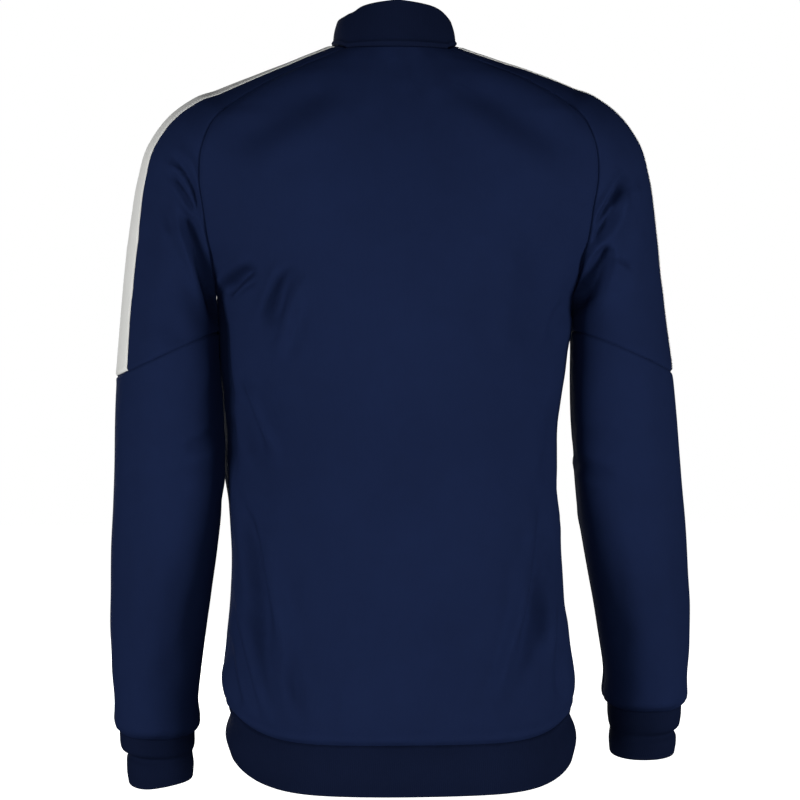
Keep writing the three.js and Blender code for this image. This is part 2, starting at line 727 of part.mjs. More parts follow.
// A box between two corners, as a solid that can be joined to others
function boxSolid(low, high) {
  const size = high.map((value, i) => value - low[i]);
  const middle = high.map((value, i) => (value + low[i]) / 2);
  const box = new THREE.BoxGeometry(...size).translate(...middle);
  box.deleteAttribute('normal');
  box.deleteAttribute('uv');
  const merged = mergeVertices(box);
  const vertProperties = new Float32Array(merged.attributes.position.array);
  const triVerts = new Uint32Array(merged.index.array);
  return new wasm.Manifold(new wasm.Mesh({ numProp: 3, vertProperties, triVerts }));
}

function solidGeometry(solid) {
  const mesh = solid.getMesh();
  const geometry = new THREE.BufferGeometry();
  geometry.setAttribute('position', new THREE.BufferAttribute(new Float32Array(mesh.vertProperties), 3));
  geometry.setIndex(new THREE.BufferAttribute(new Uint32Array(mesh.triVerts), 1));
  return geometry;
}

// The slider: a plate before the chain and one behind the tapes, the post that joins them between the
// two tapes, and the bridge that the pull hangs on. Depths are measured out from the chain's face.
function sliderSolid(faceY) {
  const front = faceY - SLIDER.gap;
  const outside = front - SLIDER.plate;
  const back = faceY + SLIDER.backDepth;
  const bar = outside - BRIDGE.tunnel;
  const top = SLIDER.z + SLIDER.length / 2;
  const bottom = SLIDER.z - SLIDER.length / 2;
  const postBottom = top - SLIDER_POST.length;
  const bridgeTop = SLIDER.z + BRIDGE.length / 2;
  const bridgeBottom = SLIDER.z - BRIDGE.length / 2;
  const pieces = [
    boxSolid([-SLIDER.half, outside, bottom], [SLIDER.half, front, top]),
    boxSolid([-SLIDER.half, back, bottom], [SLIDER.half, back + SLIDER.plate, top]),
    boxSolid([-SLIDER_POST.half, outside, postBottom], [SLIDER_POST.half, back + SLIDER.plate, top]),
    boxSolid([-BRIDGE.half, bar - BRIDGE.bar, bridgeBottom], [BRIDGE.half, bar, bridgeTop]),
    boxSolid([-BRIDGE.half, bar - BRIDGE.bar, bridgeTop - BRIDGE.bar], [BRIDGE.half, front, bridgeTop]),
    boxSolid([-BRIDGE.half, bar - BRIDGE.bar, bridgeBottom], [BRIDGE.half, front, bridgeBottom + BRIDGE.bar]),
  ];
  return pieces.reduce((whole, piece) => whole.add(piece));
}

// The pull: a plate with rounded ends and a window that the bridge passes through, hung on its top rail
function pullGeometry() {
  const outline = new THREE.Shape();
  const bottom = PULL.rail - PULL.length;
  const corner = PULL.half;
  outline.moveTo(-PULL.half, PULL.rail);
  outline.lineTo(-PULL.half, bottom + corner);
  outline.absarc(0, bottom + corner, corner, Math.PI, 2 * Math.PI, false);
  outline.lineTo(PULL.half, PULL.rail);
  outline.closePath();
  const window = new THREE.Path();
  window.moveTo(-PULL.windowHalf, -PULL.rail);
  window.lineTo(PULL.windowHalf, -PULL.rail);
  window.lineTo(PULL.windowHalf, -PULL.rail - PULL.window);
  window.lineTo(-PULL.windowHalf, -PULL.rail - PULL.window);
  window.closePath();
  outline.holes.push(window);
  const settings = { depth: PULL.wall, bevelEnabled: false, curveSegments: 8 };
  const plate = new THREE.ExtrudeGeometry(outline, settings);
  return plate.translate(0, 0, -PULL.wall / 2).rotateX(Math.PI / 2);
}

const MATERIALS = {
  cloth: finish(COLOURS.navy, 0.85),
  rib: finish(COLOURS.navyRib, 0.9),
  band: finish(COLOURS.offWhite, 0.8),
  zip: finish(COLOURS.zip, 0.7),
  metal: finish(COLOURS.metal, 0.35, 0.9),
};

const mirrored = (row) => row.map((point) => new THREE.Vector3(-point.x, point.y, point.z)).reverse();
const lastOf = (rows) => rows[rows.length - 1];

const backPanel = backRows();
const frontPanel = frontLeftRows();
const sleeveTops = { left: upperSleeveRows('left')[0], right: upperSleeveRows('right')[0] };
const neckLine = [
  ...mirrored(frontPanel[0]),
  ...mirrored(sleeveTops.right).slice(1),
  ...backPanel[0].slice(1),
  ...sleeveTops.left.slice(1),
  ...frontPanel[0].slice(1),
];
const hemLine = [
  ...mirrored(lastOf(frontPanel)),
  ...lastOf(backPanel).slice(1),
  ...lastOf(frontPanel).slice(1),
];

const sheets = [
  makeSheet('back', hangRows(backPanel), CLOTH_WALL, MATERIALS.cloth),
  makeSheet('collar', hangRows(collarRows(neckLine)), RIB_WALL, MATERIALS.rib),
  makeSheet('hem_band', hangRows(hemBandRows(hemLine)), RIB_WALL, MATERIALS.rib),
];
const upperSleeves = {};
for (const side of ['left', 'right']) {
  const upperRows = hangRows(upperSleeveRows(side), side, true);
  const lowerRows = hangRows(lowerSleeveRows(side), side, true);
  upperSleeves[side] = makeSheet(`sleeve_upper_${side}`, upperRows, CLOTH_WALL, MATERIALS.cloth);
  sheets.push(
    makeSheet(`front_${side}`, hangRows(frontPanel, side), CLOTH_WALL, MATERIALS.cloth),
    upperSleeves[side],
    makeSheet(`sleeve_lower_${side}`, lowerRows, CLOTH_WALL, MATERIALS.cloth),
    makeSheet(`cuff_${side}`, hangRows(cuffRows(side), side, true), RIB_WALL, MATERIALS.rib, true),
  );
}
joinSeams(sheets);

const bands = ['left', 'right'].map((side) => bandSheet(side, upperSleeves[side]));
const tapeTop = COLLAR_HEIGHT(180).z - TAPE.endGap;
const zipStrips = [
  zipStrip('zip_tape_left', TAPE.inner, TAPE.outer, TAPE.depth, TAPE.wall, tapeTop),
  zipStrip('zip_tape_right', -TAPE.outer, -TAPE.inner, TAPE.depth, TAPE.wall, tapeTop),
  zipStrip('zip_chain', -CHAIN.half, CHAIN.half, 0, CHAIN.wall, CHAIN.topZ),
];

const chainFaceY = centreFrontLine(0).find((point) => point.z < SLIDER.z).y;
const slider = namedMesh('zip_slider', solidGeometry(sliderSolid(chainFaceY)), MATERIALS.metal);
const pull = namedMesh('zip_pull', pullGeometry(), MATERIALS.metal);
pull.position.set(0, chainFaceY - SLIDER.gap - SLIDER.plate - BRIDGE.tunnel / 2, SLIDER.z);

const jacket = new THREE.Group();
for (const sheet of [...sheets, ...bands, ...zipStrips]) {
  jacket.add(namedMesh(sheet.name, sheetGeometry(sheet), sheet.material));
}
jacket.add(slider, pull);

export default jacket;
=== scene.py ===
import math

import bpy
import numpy as np
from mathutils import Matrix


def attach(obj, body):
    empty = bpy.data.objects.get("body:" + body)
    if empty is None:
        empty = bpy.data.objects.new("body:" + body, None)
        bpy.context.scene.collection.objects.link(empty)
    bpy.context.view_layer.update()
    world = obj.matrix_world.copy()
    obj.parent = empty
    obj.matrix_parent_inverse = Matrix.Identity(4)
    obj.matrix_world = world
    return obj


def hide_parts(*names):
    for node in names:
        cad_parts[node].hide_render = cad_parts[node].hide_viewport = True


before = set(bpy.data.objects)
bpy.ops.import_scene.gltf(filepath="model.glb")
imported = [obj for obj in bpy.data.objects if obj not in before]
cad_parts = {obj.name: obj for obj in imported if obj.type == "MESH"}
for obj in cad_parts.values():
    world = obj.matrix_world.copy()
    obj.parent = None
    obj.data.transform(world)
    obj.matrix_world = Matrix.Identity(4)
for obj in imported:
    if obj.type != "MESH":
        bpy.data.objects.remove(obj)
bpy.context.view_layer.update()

# Track jacket, seen from the back. Lengths are in millimetres until a mesh is made, +Z is up, the front
# faces -Y, and +X is the wearer's left. A grid of points has rows that run down the garment and columns
# that run clockwise seen from above, so that the product of its two slopes points outwards.

METRE = 1000
JACKET = "jacket"

# Cloth: the thickness of its walls, the gap under the shoulder bands, how deep and how far an edge rolls in
# at a seam, how far its rim stands out there, within what distance two borders are sewn together, the steps
# round a rim, and the power that brings a grid's lines closer together near its ends
KNIT_WALL = 1.0
RIB_WALL = 2.4
BAND_WALL = 0.8
BAND_OFF = 0.15
TAPE_WALL = 0.8
ROLL_DEPTH = 1.55
ROLL_REACH = 1.3
SEAM_BULGE = 0.12
SEAM_REACH = 2.6
RIM_STEPS = 4
END_POWER = 1.35
ALL_SIDES = "top right bottom left"

# How far the cloth hangs over the cuff and hem seams and the hem band is drawn in at its sides, the hollow
# beside the left arm, the reach and the places of the contact between that arm and the body, how far the
# left shoulder drops, and a ridge above the neck seam
CUFF_OVERHANG = 5.4
HEM_OVERHANG = 1.4
HEM_DRAWN_IN = 4.2
HOLLOW = 6
CONTACT_REACH = 12
ARM_CONTACT_Y = 5
BODY_CONTACT_Y = -22
SHOULDER_DROP = 5.2
NECK_RIDGE = 1.5
NECK_RIDGE_PLACE = 2.7

# Cuffs: their fullness above a level crease, its depth, its place below the seam, and how far each is
# drawn in below it and its inner side is pushed up
CUFF_FULLNESS = 2.8
CUFF_CREASE_DEPTH = 3.4
CUFF_CREASE = {"left": 25.5, "right": 29.5}
CUFF_STEP = {"left": 1.6, "right": 0.2}
CUFF_RISE = {"left": 6, "right": 0}

# Levels and planes, as in the solids
FRONT_EDGE_X = 6
UNDERARM_Z = -235
SHOULDER_PIVOT_X = 40
HEM_BACK_Z = -645.5
HEM_RISE = 27
HEM_RISE_POWER = 6
HEM_HALF = 165
HEM_DEPTH = 112
HEM_SQUARE = 2.5
HEM_FRONT_Z = -612
HEM_BAND_HEIGHT = 47.5
HEM_PINCH = 5
HEM_PINCH_REACH = 12
ELBOW_SEAM_Z = -288
ELBOW_SEAM_SLOPE = 0.433
CUFF_SEAM_Z = -631
CUFF_BOTTOM_Z = -684
CUFF_TILT = 0.25
SLEEVE_SQUARE = 2.2
NECK_FRONT_Z = -62
NECK_CURVE = 1.6
NECK_TOP_ANGLE = 85.7
BAND_TOP_ANGLE = 84.9
BAND_HALF = 28
BAND_TURN = 12
BAND_TURN_FROM = 80
BAND_TURN_TO = 45
COLLAR_HALF = 54
COLLAR_BACK = 50
COLLAR_FRONT = 58
COLLAR_SWELL = 1.2
SIGN = {"left": 1, "right": -1}
ARM_STRETCH = {"left": 1.032, "right": 0.976}


# Tables, and the curves through them

def smooth_curve(keys, values):
    """A cubic through the values. Its slope at each is the harmonic mean of the rises beside it, or zero
    at a turn, so that it doesn't overshoot between two values."""
    rises = np.diff(values) / np.diff(keys)
    before = np.concatenate([rises[:1], rises])
    after = np.concatenate([rises, rises[-1:]])
    same = before * after > 0
    slopes = np.where(same, 2 * before * after / np.where(same, before + after, 1), 0)

    def at(key):
        key = np.clip(key, keys[0], keys[-1])
        i = np.clip(np.searchsorted(keys, key, side="right") - 1, 0, len(keys) - 2)
        span = keys[i + 1] - keys[i]
        t = (key - keys[i]) / span
        start = (1 + 2 * t) * (1 - t) ** 2 * values[i] + t * (1 - t) ** 2 * span * slopes[i]
        end = t * t * (3 - 2 * t) * values[i + 1] - t * t * (1 - t) * span * slopes[i + 1]
        return start + end

    return at


def table(rows):
    """Rows of numbers whose first column is a key. Gives the other columns at any key, as a list."""
    numbers = np.array(sorted(rows), float)
    curves = [smooth_curve(numbers[:, 0], column) for column in numbers[:, 1:].T]
    return lambda key: [curve(key) for curve in curves]


# Sideways sway of the arms and the body by height
ARM_SWAY = table([
    [-240, 0], [-300, -1], [-332, -1.8], [-408, -5], [-484, -7.5], [-600, -10.5], [-700, -12],
])
BODY_SWAY = table([
    [-240, 0], [-332, 1.3], [-400, 2.2], [-446, 0], [-490, -2], [-620, -5.2], [-700, -9],
])

# Body below the underarm: height, half the width, depth to the back and the front, squareness
BODY = table([
    [-235, 166.7, 118, 120, 2.25],
    [-300, 163, 114, 116, 2.3],
    [-332, 158.6, 111, 113, 2.3],
    [-370, 155.4, 108, 110, 2.35],
    [-420, 155, 106, 107, 2.4],
    [-470, 154.5, 106, 105, 2.4],
    [-520, 157.5, 109, 105, 2.45],
    [-560, 162, 113, 106, 2.5],
    [-595, 166, 117, 107, 2.5],
    [-650, 167, 115, 104, 2.5],
])

# Body above the underarm: height, depth at the centre, squareness, for the back and the front
YOKE_DEPTH = {
    1: table([
        [-235, 118, 2.25], [-190, 119, 2.1], [-150, 115.5, 2], [-110, 107, 2],
        [-75, 96, 2], [-45, 84, 2], [-20, 71, 2], [0, 60.5, 2],
    ]),
    -1: table([
        [-235, 120, 2.25], [-190, 118, 2.1], [-150, 110, 2], [-110, 94, 2],
        [-85, 76, 2], [-62, 58, 2], [-40, 51, 2], [-20, 45, 2], [-9, 42, 2],
    ]),
}

# Shoulder sections: angle, distance to the outside, to the middle and in from it, depth to the back and
# the front, distance to the back and the front seam, bend of the plane, how far back the middle lies
SHOULDER = table([
    [0, 214.5, 170.75, 43.45, 63, 62, 127.3, 127.3, 0, 0],
    [6, 213.3, 167.5, 44.5, 65, 62, 130, 131, 0, 1],
    [13.7, 215.5, 163, 47, 66, 61, 135.3, 137, 0, 2],
    [20, 219.7, 160, 50, 68, 61, 144, 146, 0, 3],
    [29.4, 230, 168, 55, 73.5, 63.5, 160, 160, 0, 3],
    [37.8, 240, 181.8, 55, 77, 64, 181.8, 176, 0, 3],
    [45, 242.8, 187, 55, 76.5, 60, 199, 190, 0, 3],
    [52.3, 240, 190, 55, 71, 55, 210.6, 201, 0, 3],
    [57, 234.4, 185, 55, 68.5, 53, 213.2, 206, 0, 3],
    [62.6, 231.3, 178, 55, 68, 53.8, 214.8, 210, 0, 3],
    [68, 229.5, 174, 55, 68, 54, 216.6, 213, 0.4, 3],
    [73, 229, 172, 55, 68, 55.5, 218.3, 216, 0.9, 3],
    [80, 231.5, 176, 55, 72, 55, 222, 221, 1.5, 3],
    [85.7, 236.5, 180, 55, 79, 54, 230, 226, 2.6, 3],
])

# Arm sections below the underarm: height, outer and inner side, the middle's place, depth back and front
ARM = table([
    [-235, 254.5, 167.3, 0, 63, 62],
    [-277, 259, 167.5, 0.5, 63, 61],
    [-315, 263, 166.5, 0.5, 62, 60],
    [-350, 265.5, 166, 0, 61, 59],
    [-390, 267.5, 167, -2, 59, 57],
    [-427, 270, 168.5, -7, 56, 55],
    [-465, 273, 173.5, -13, 53, 53],
    [-503, 275, 180, -20, 50, 50],
    [-540, 277, 186.5, -27, 48, 48],
    [-574, 277, 191.5, -34, 46, 46],
    [-602, 275, 195.5, -40, 44.5, 44],
    [-622, 272, 198, -44, 43, 43],
    [-631, 268, 200.5, -46, 29, 29],
    [-644, 267.5, 200.5, -48, 29, 29],
    [-657, 266, 201.5, -50, 27.5, 27.5],
    [-671, 266, 200.5, -52, 28, 28],
    [-684, 264.5, 201.5, -54, 26, 26],
])

# The collar's top by the angle from the centre back in degrees, and where it has sunk: depth, angle, width
COLLAR_HEIGHT = table([[0, 39.5], [45, 34.5], [90, 24.5], [135, 4], [180, -12]])
COLLAR_SLUMPS = [[4.2, 64, 21], [1.2, 50, 6], [3.6, -72, 19]]

# How far the hem band stands out, by the part of the way down it
HEM_BAND_SWELL = table([[0, 0], [0.3, 3.6], [0.6, 4.2], [1, -0.5]])

# How far the left arm and the body stand out towards each other, by height
ARM_CONTACT = table([[-428, 0], [-400, 3.4], [-335, 3.4], [-300, 1.8], [-247, 1.7], [-237, 0]])
BODY_CONTACT = table([[-428, 0], [-400, 3.4], [-280, 3.8], [-245, 3.7], [-236, 0]])

# Creases: x and z of three points along each, its depth, negative for a ridge, half its width, and how
# much steeper its inner side is than its outer one
BACK_CREASES = [
    [140.6, -418, 130.6, -496, 121.5, -592, 8.5, 8, 0.3],
    [146, -398, 118, -500, 98, -602, -5.5, 6.5, 0.2],
    [150, -500, 137, -566, 118, -636, -5, 5, 0.3],
    [158, -545, 153, -590, 145, -618, 4.5, 4.5, 0],
    [110, -520, 102, -570, 92, -625, 4.5, 6, 0],
    [159, -238, 147, -224, 130, -212, 9, 6, 0.3],
    [101, -209, 112, -238, 121, -268, 8, 7.5, 0.2],
    [97, -226, 104, -266, 117, -296, -4, 6, 0],
    [142, -310, 129, -342, 111, -388, -5, 5, 0.2],
    [148, -320, 138, -352, 123, -402, 6, 7, 0],
    [-130, -415, -129, -496, -94, -600, 8, 9, 0.3],
    [-139, -446, -134.7, -514, -149, -600, -4, 7, 0.2],
    [-112, -470, -104, -545, -78, -618, -3.6, 8, 0.2],
    [-152, -520, -147, -570, -152, -618, 4, 6, 0],
    [-127, -180, -121, -237, -114, -294, 4.6, 17, 0.2],
    [-158, -240, -146, -256, -140, -284, 4, 7, 0.3],
    [-150, -330, -142, -375, -138, -418, 3, 9, 0],
    [50, -33, 105, -68, 168, -112, 4.6, 17, 0],
    [-50, -33, -105, -68, -168, -112, 4.6, 17, 0],
    [21, -8, 25, -40, 30, -78, -1.5, 10, 0],
    [-27, -8, -30, -34, -34, -62, -1.4, 10, 0],
    [2, -8, -2, -30, -1, -54, -1, 8, 0],
    [60, -330, 20, -350, -30, -344, 1.2, 22, 0],
    [70, -640, 66, -610, 74, -580, 1, 9, 0],
    [-36, -640, -40, -618, -34, -590, 0.9, 8, 0],
]
FRONT_CREASES = [
    [136, -430, 122, -500, 104, -590, 4.6, 9, 0.2],
    [149, -470, 138, -540, 122, -604, -2.4, 7, 0.2],
    [112, -500, 96, -560, 84, -600, -2, 8, 0],
    [-138, -420, -126, -500, -112, -594, 4.6, 9, 0.2],
    [-120, -460, -104, -530, -92, -600, -2.4, 8, 0.2],
    [-152, -500, -147, -550, -140, -598, 2, 6, 0],
    [128, -190, 118, -245, 112, -304, 3.8, 15, 0.2],
    [-128, -186, -118, -245, -112, -308, 3.8, 15, 0.2],
    [158, -240, 144, -230, 128, -216, 3, 7, 0.3],
    [-159, -242, -146, -228, -134, -220, 3, 7, 0.3],
    [52, -92, 96, -108, 146, -140, 3.4, 17, 0],
    [-52, -92, -96, -108, -146, -140, 3.4, 17, 0],
    [70, -300, 60, -380, 64, -460, 1.2, 16, 0],
    [-62, -330, -56, -400, -60, -470, 1.2, 16, 0],
]
SLEEVE_CREASES = {
    ("left", 1): [
        [213, -108, 190, -138, 173, -187, 8.5, 4.4, 0.3],
        [212, -122, 196, -143, 179, -176, 7, 4.2, 0.2],
        [200, -156, 185, -198, 166, -266, 11, 7.5, 0.3],
        [219, -146, 212, -166, 202, -180, 2.4, 6, 0],
        [236, -170, 232, -200, 226, -236, 1.4, 10, 0],
        [225, -250, 205, -272, 184, -296, 1.8, 9, 0],
    ],
    ("left", -1): [
        [216, -112, 198, -150, 178, -196, 3.6, 6, 0.2],
        [200, -170, 186, -206, 166, -262, 5, 8, 0.3],
        [228, -150, 220, -182, 214, -216, 1.4, 9, 0],
        [238, -240, 216, -262, 188, -280, 1.4, 9, 0],
    ],
    ("right", 1): [
        [-212, -122, -197, -148, -178, -178, 10, 5.5, 0.3],
        [-206, -150, -192, -170, -174, -190, 6, 4.5, 0.3],
        [-198, -190, -184, -210, -168, -254, 12, 7.5, 0.3],
        [-216, -130, -215, -142, -218, -156, 2.6, 4, 0],
        [-218, -168, -212, -196, -200, -226, 2.6, 8, 0],
        [-236, -214, -228, -244, -212, -276, 1.5, 10, 0],
    ],
    ("right", -1): [
        [-214, -118, -198, -148, -180, -184, 3.4, 6, 0.2],
        [-198, -180, -182, -212, -165, -258, 5, 8, 0.3],
        [-228, -160, -222, -196, -210, -226, 1.4, 9, 0],
    ],
}
FOREARM_CREASES = {
    ("left", 1): [
        [166, -352, 180, -369, 200, -378, 2.6, 6, 0.2],
        [168, -388, 190, -404, 214, -406, 1.6, 9, 0],
        [246, -420, 236, -500, 232, -580, 1.2, 14, 0],
        [198, -470, 206, -540, 214, -610, 1.4, 11, 0],
        [182, -500, 190, -540, 193, -590, 1.2, 8, 0],
    ],
    ("left", -1): [
        [166, -356, 184, -372, 210, -376, 3, 7, 0.2],
        [168, -400, 196, -420, 226, -424, 2, 10, 0],
        [240, -450, 228, -520, 222, -600, 1.3, 13, 0],
    ],
    ("right", 1): [
        [-168, -384, -184, -400, -204, -404, 2.6, 6, 0.2],
        [-168, -350, -190, -366, -216, -364, 1.6, 9, 0],
        [-250, -400, -240, -470, -238, -560, 1.2, 14, 0],
        [-204, -450, -212, -520, -222, -590, 1.4, 11, 0],
    ],
    ("right", -1): [
        [-168, -372, -186, -388, -214, -392, 3, 7, 0.2],
        [-172, -416, -200, -434, -230, -434, 2, 10, 0],
        [-246, -440, -236, -510, -230, -586, 1.3, 13, 0],
    ],
}


# Small helpers

def smooth_step(value, low, high):
    """Rises smoothly from 0 at low to 1 at high."""
    part = np.clip((value - low) / (high - low), 0, 1)
    return part * part * (3 - 2 * part)


def blend(start, end, part):
    """The value a part of the way from start to end."""
    return start + (end - start) * part


def unit(vectors):
    """The vectors divided by their lengths."""
    return vectors / np.maximum(np.linalg.norm(vectors, axis=-1, keepdims=True), 1e-9)


def xyz(x, y, z):
    """Points from three arrays of coordinates."""
    return np.stack(np.broadcast_arrays(x, y, z), -1)


def near_start(count):
    """Parts from 0 to 1 whose steps are shorter near 0."""
    return np.linspace(0, 1, count) ** END_POWER


def near_end(count):
    """Parts from 0 to 1 whose steps are shorter near 1."""
    return 1 - near_start(count)[::-1]


def near_both(count):
    """Parts from 0 to 1 whose steps are shorter near both ends."""
    across = np.linspace(-1, 1, count)
    return 0.5 + 0.5 * np.sign(across) * (1 - (1 - np.abs(across)) ** END_POWER)


# The garment's form: sections of the body and the arms, and the seam lines on them

def section_point(angle, half, depth, square):
    """The point at an angle on a rounded section, where |x/half|^square + |y/depth|^square is 1."""
    across = np.abs(np.sin(angle) / half) ** square
    along = np.abs(np.cos(angle) / depth) ** square
    radius = (across + along) ** (-1 / square)
    return radius * np.sin(angle), radius * np.cos(angle)


def hem_seam_z(angle, face):
    """The height of the seam above the hem band: lowest at the centre back, and rising as the sixth power
    of the distance aside. On the front it rises from the side to the zip as the cube of that distance."""
    x, _ = section_point(angle, HEM_HALF, HEM_DEPTH, HEM_SQUARE)
    aside = np.abs(x) / HEM_HALF
    if face > 0:
        return HEM_BACK_Z + HEM_RISE * aside ** HEM_RISE_POWER
    return blend(HEM_FRONT_Z, HEM_BACK_Z + HEM_RISE, aside ** 3)


def seam_angle(section, face):
    """The angle round a shoulder section where the section's outline reaches its raglan seam."""
    out, centre, inward, back, front, seam_back, seam_front = section[:7]
    offset = (seam_back if face > 0 else seam_front) - centre
    reach = np.where(offset > 0, out - centre, inward)
    depth = back if face > 0 else front
    rest = np.maximum(0, 1 - np.abs(offset / reach) ** SLEEVE_SQUARE)
    return face * np.arctan2(depth * rest ** (1 / SLEEVE_SQUARE), offset)


def shoulder_point(angle, around):
    """A point of a shoulder section, whose plane turns by the angle about the pivot line at the underarm's
    height and bends by the square of the part of the way to the seam."""
    section = SHOULDER(angle)
    out, centre, inward, back, front, _, _, bend, middle = section
    reach = np.where(np.cos(around) > 0, out - centre, inward)
    depth = np.where(np.sin(around) > 0, back, front)
    y, along = section_point(around, depth, reach, SLEEVE_SQUARE)
    end = np.where(around > 0, seam_angle(section, 1), seam_angle(section, -1))
    plane = np.radians(angle + bend * (around / end) ** 2)
    distance = centre + along
    x = SHOULDER_PIVOT_X + distance * np.cos(plane)
    return xyz(x, middle + y, UNDERARM_Z + distance * np.sin(plane))


def raglan_point(angle, face):
    """A raglan seam's point on the left side at a shoulder angle, on the back, 1, or the front, -1."""
    return shoulder_point(angle, seam_angle(SHOULDER(angle), face))


def arm_point(z, around):
    """A point of the left arm below the underarm: a rounded section at its height."""
    outer, inner, middle, back, front = ARM(z)
    depth = np.where(np.sin(around) > 0, back, front)
    y, along = section_point(around, depth, (outer - inner) / 2, SLEEVE_SQUARE)
    return xyz((outer + inner) / 2 + along, middle + y, z)


def elbow_seam_z(around):
    """The slanted elbow seam: a plane that falls towards the outside of the arm."""
    outer, inner = ARM(ELBOW_SEAM_Z)[:2]
    x = arm_point(ELBOW_SEAM_Z, around)[..., 0]
    return ELBOW_SEAM_Z - ELBOW_SEAM_SLOPE * (x - (outer + inner) / 2)


# The shoulder angles of the rows above the underarm, from the neck down, and how the width of the body
# there follows from the raglan seams
SHOULDER_ANGLES = NECK_TOP_ANGLE * (1 - near_both(128))
YOKE_ANGLES = SHOULDER_ANGLES[:-1]


def yoke_width(face):
    """Half the body's width by height, so that its section passes through the raglan seam's points."""
    points = raglan_point(YOKE_ANGLES, face)
    depth, square = YOKE_DEPTH[face](points[:, 2])
    half = points[:, 0] / (1 - (np.abs(points[:, 1]) / depth) ** square) ** (1 / square)
    return table([*np.stack([points[:, 2], half], -1).tolist(), [UNDERARM_Z, BODY(UNDERARM_Z)[0]]])


YOKE_WIDTH = {face: yoke_width(face) for face in (1, -1)}


def body_section(z, face):
    """Half the width, the depth and the squareness of the body at a height, on the back or the front."""
    half, back, front, square = BODY(z)
    yoke_depth, yoke_square = YOKE_DEPTH[face](z)
    above = z > UNDERARM_Z
    depth = np.where(above, yoke_depth, back if face > 0 else front)
    return np.where(above, YOKE_WIDTH[face](z)[0], half), depth, np.where(above, yoke_square, square)


def body_point(angle, z, face):
    """A point of the body at an angle from the centre back. It is drawn in at the hem seam by a pinch
    that fades with the square of the height over it."""
    half, depth, square = body_section(z, face)
    pinch = HEM_PINCH * np.exp(-(((z - hem_seam_z(angle, face)) / HEM_PINCH_REACH) ** 2))
    return xyz(*section_point(angle, half - pinch, depth - pinch, square), z)


# Grids of the pieces

def eased(grid, rounds=24, reach=26, edge=14):
    """The grid without the kink at the underarm's height: again and again each point moves to the mean of
    itself and the two beside it down the grid, by a bell of the height and less near the side borders."""
    across = lengths(grid, 1)
    free = smooth_step(np.minimum(across, across[:, -1:] - across), 0, edge)
    part = free * np.exp(-(((grid[..., 2] - UNDERARM_Z) / reach) ** 2))
    part[[0, -1]] = 0
    for _ in range(rounds):
        mean = (np.roll(grid, 1, 0) + 2 * grid + np.roll(grid, -1, 0)) / 4
        grid = blend(grid, mean, part[..., None])
    return grid


def back_grid(columns=150, body_rows=118):
    """The back from its right seam to its left one. Above the underarm each row has the height of its
    raglan point, and below it the rows part the way to the hem seam evenly."""
    side = 2 * near_both(columns) - 1
    seam = raglan_point(YOKE_ANGLES, 1)
    end = np.arctan2(seam[:, 0], seam[:, 1])
    yoke = body_point(side * end[:, None], seam[:, 2:], 1)
    angle = side * math.pi / 2
    z = blend(UNDERARM_Z, hem_seam_z(angle, 1), near_end(body_rows)[:, None])
    return eased(np.concatenate([yoke, body_point(np.broadcast_to(angle, z.shape), z, 1)]))


def front_angle(side, end, z):
    """The angle of a front column between the zip and the front's outer end."""
    zip_edge = np.arcsin(FRONT_EDGE_X / body_section(z, -1)[1])
    return math.pi - blend(zip_edge, end, side)


def front_centre_z(seam_z):
    """The centre front's height in the row whose raglan end has the given height."""
    top = raglan_point(NECK_TOP_ANGLE, -1)[2]
    return blend(UNDERARM_Z, NECK_FRONT_Z, (seam_z - UNDERARM_Z) / (top - UNDERARM_Z))


def front_grid(columns=78, body_rows=112):
    """The left front from its seams to the zip. Its rows dip towards the zip above the underarm."""
    side = 1 - near_both(columns)
    seam = raglan_point(YOKE_ANGLES, -1)
    z = blend(front_centre_z(seam[:, 2:]), seam[:, 2:], side ** NECK_CURVE)
    end = np.arctan2(seam[:, 0], -seam[:, 1])[:, None]
    yoke = body_point(front_angle(side, end, z), z, -1)
    bottom = hem_seam_z(front_angle(side, math.pi / 2, HEM_FRONT_Z), -1)
    z = blend(UNDERARM_Z, bottom, near_end(body_rows)[:, None])
    body = body_point(front_angle(side, math.pi / 2, z), z, -1)
    grid = eased(np.concatenate([yoke, body]))
    grid[:, -1, 0] = FRONT_EDGE_X
    return grid


def band_turn(side, angle):
    """How far towards the back the shoulder band's middle lies, by shoulder angle. The left band is turned
    to the back and the right one to the front, and both are straight near the collar."""
    return SIGN[side] * BAND_TURN * (1 - smooth_step(angle, BAND_TURN_TO, BAND_TURN_FROM))


# The columns of a sleeve beside and across its shoulder band, and the band's part of the upper sleeve
BESIDE_BAND = 60
ACROSS_BAND = 26
BAND_COLUMNS = slice(BESIDE_BAND - 1, BESIDE_BAND - 1 + ACROSS_BAND)
BAND_FIRST_ROW = int(np.argmax(SHOULDER_ANGLES < BAND_TOP_ANGLE))


def sleeve_angles(back_end, front_end, reach, turn):
    """The angles of a sleeve's columns: closer together at the seams, even across the shoulder band."""
    band_back = (turn + BAND_HALF) / reach
    band_front = (turn - BAND_HALF) / reach
    return np.concatenate([
        blend(back_end, band_back, near_start(BESIDE_BAND)[:-1]),
        blend(band_back, band_front, np.linspace(0, 1, ACROSS_BAND)[:-1]),
        blend(band_front, front_end, near_end(BESIDE_BAND)),
    ], -1)


def arm_angles(side):
    """The angles of a sleeve's columns below the underarm, where it is a closed tube."""
    outer, inner = ARM(ELBOW_SEAM_Z)[:2]
    return sleeve_angles(math.pi, -math.pi, (outer - inner) / 2, band_turn(side, 0))


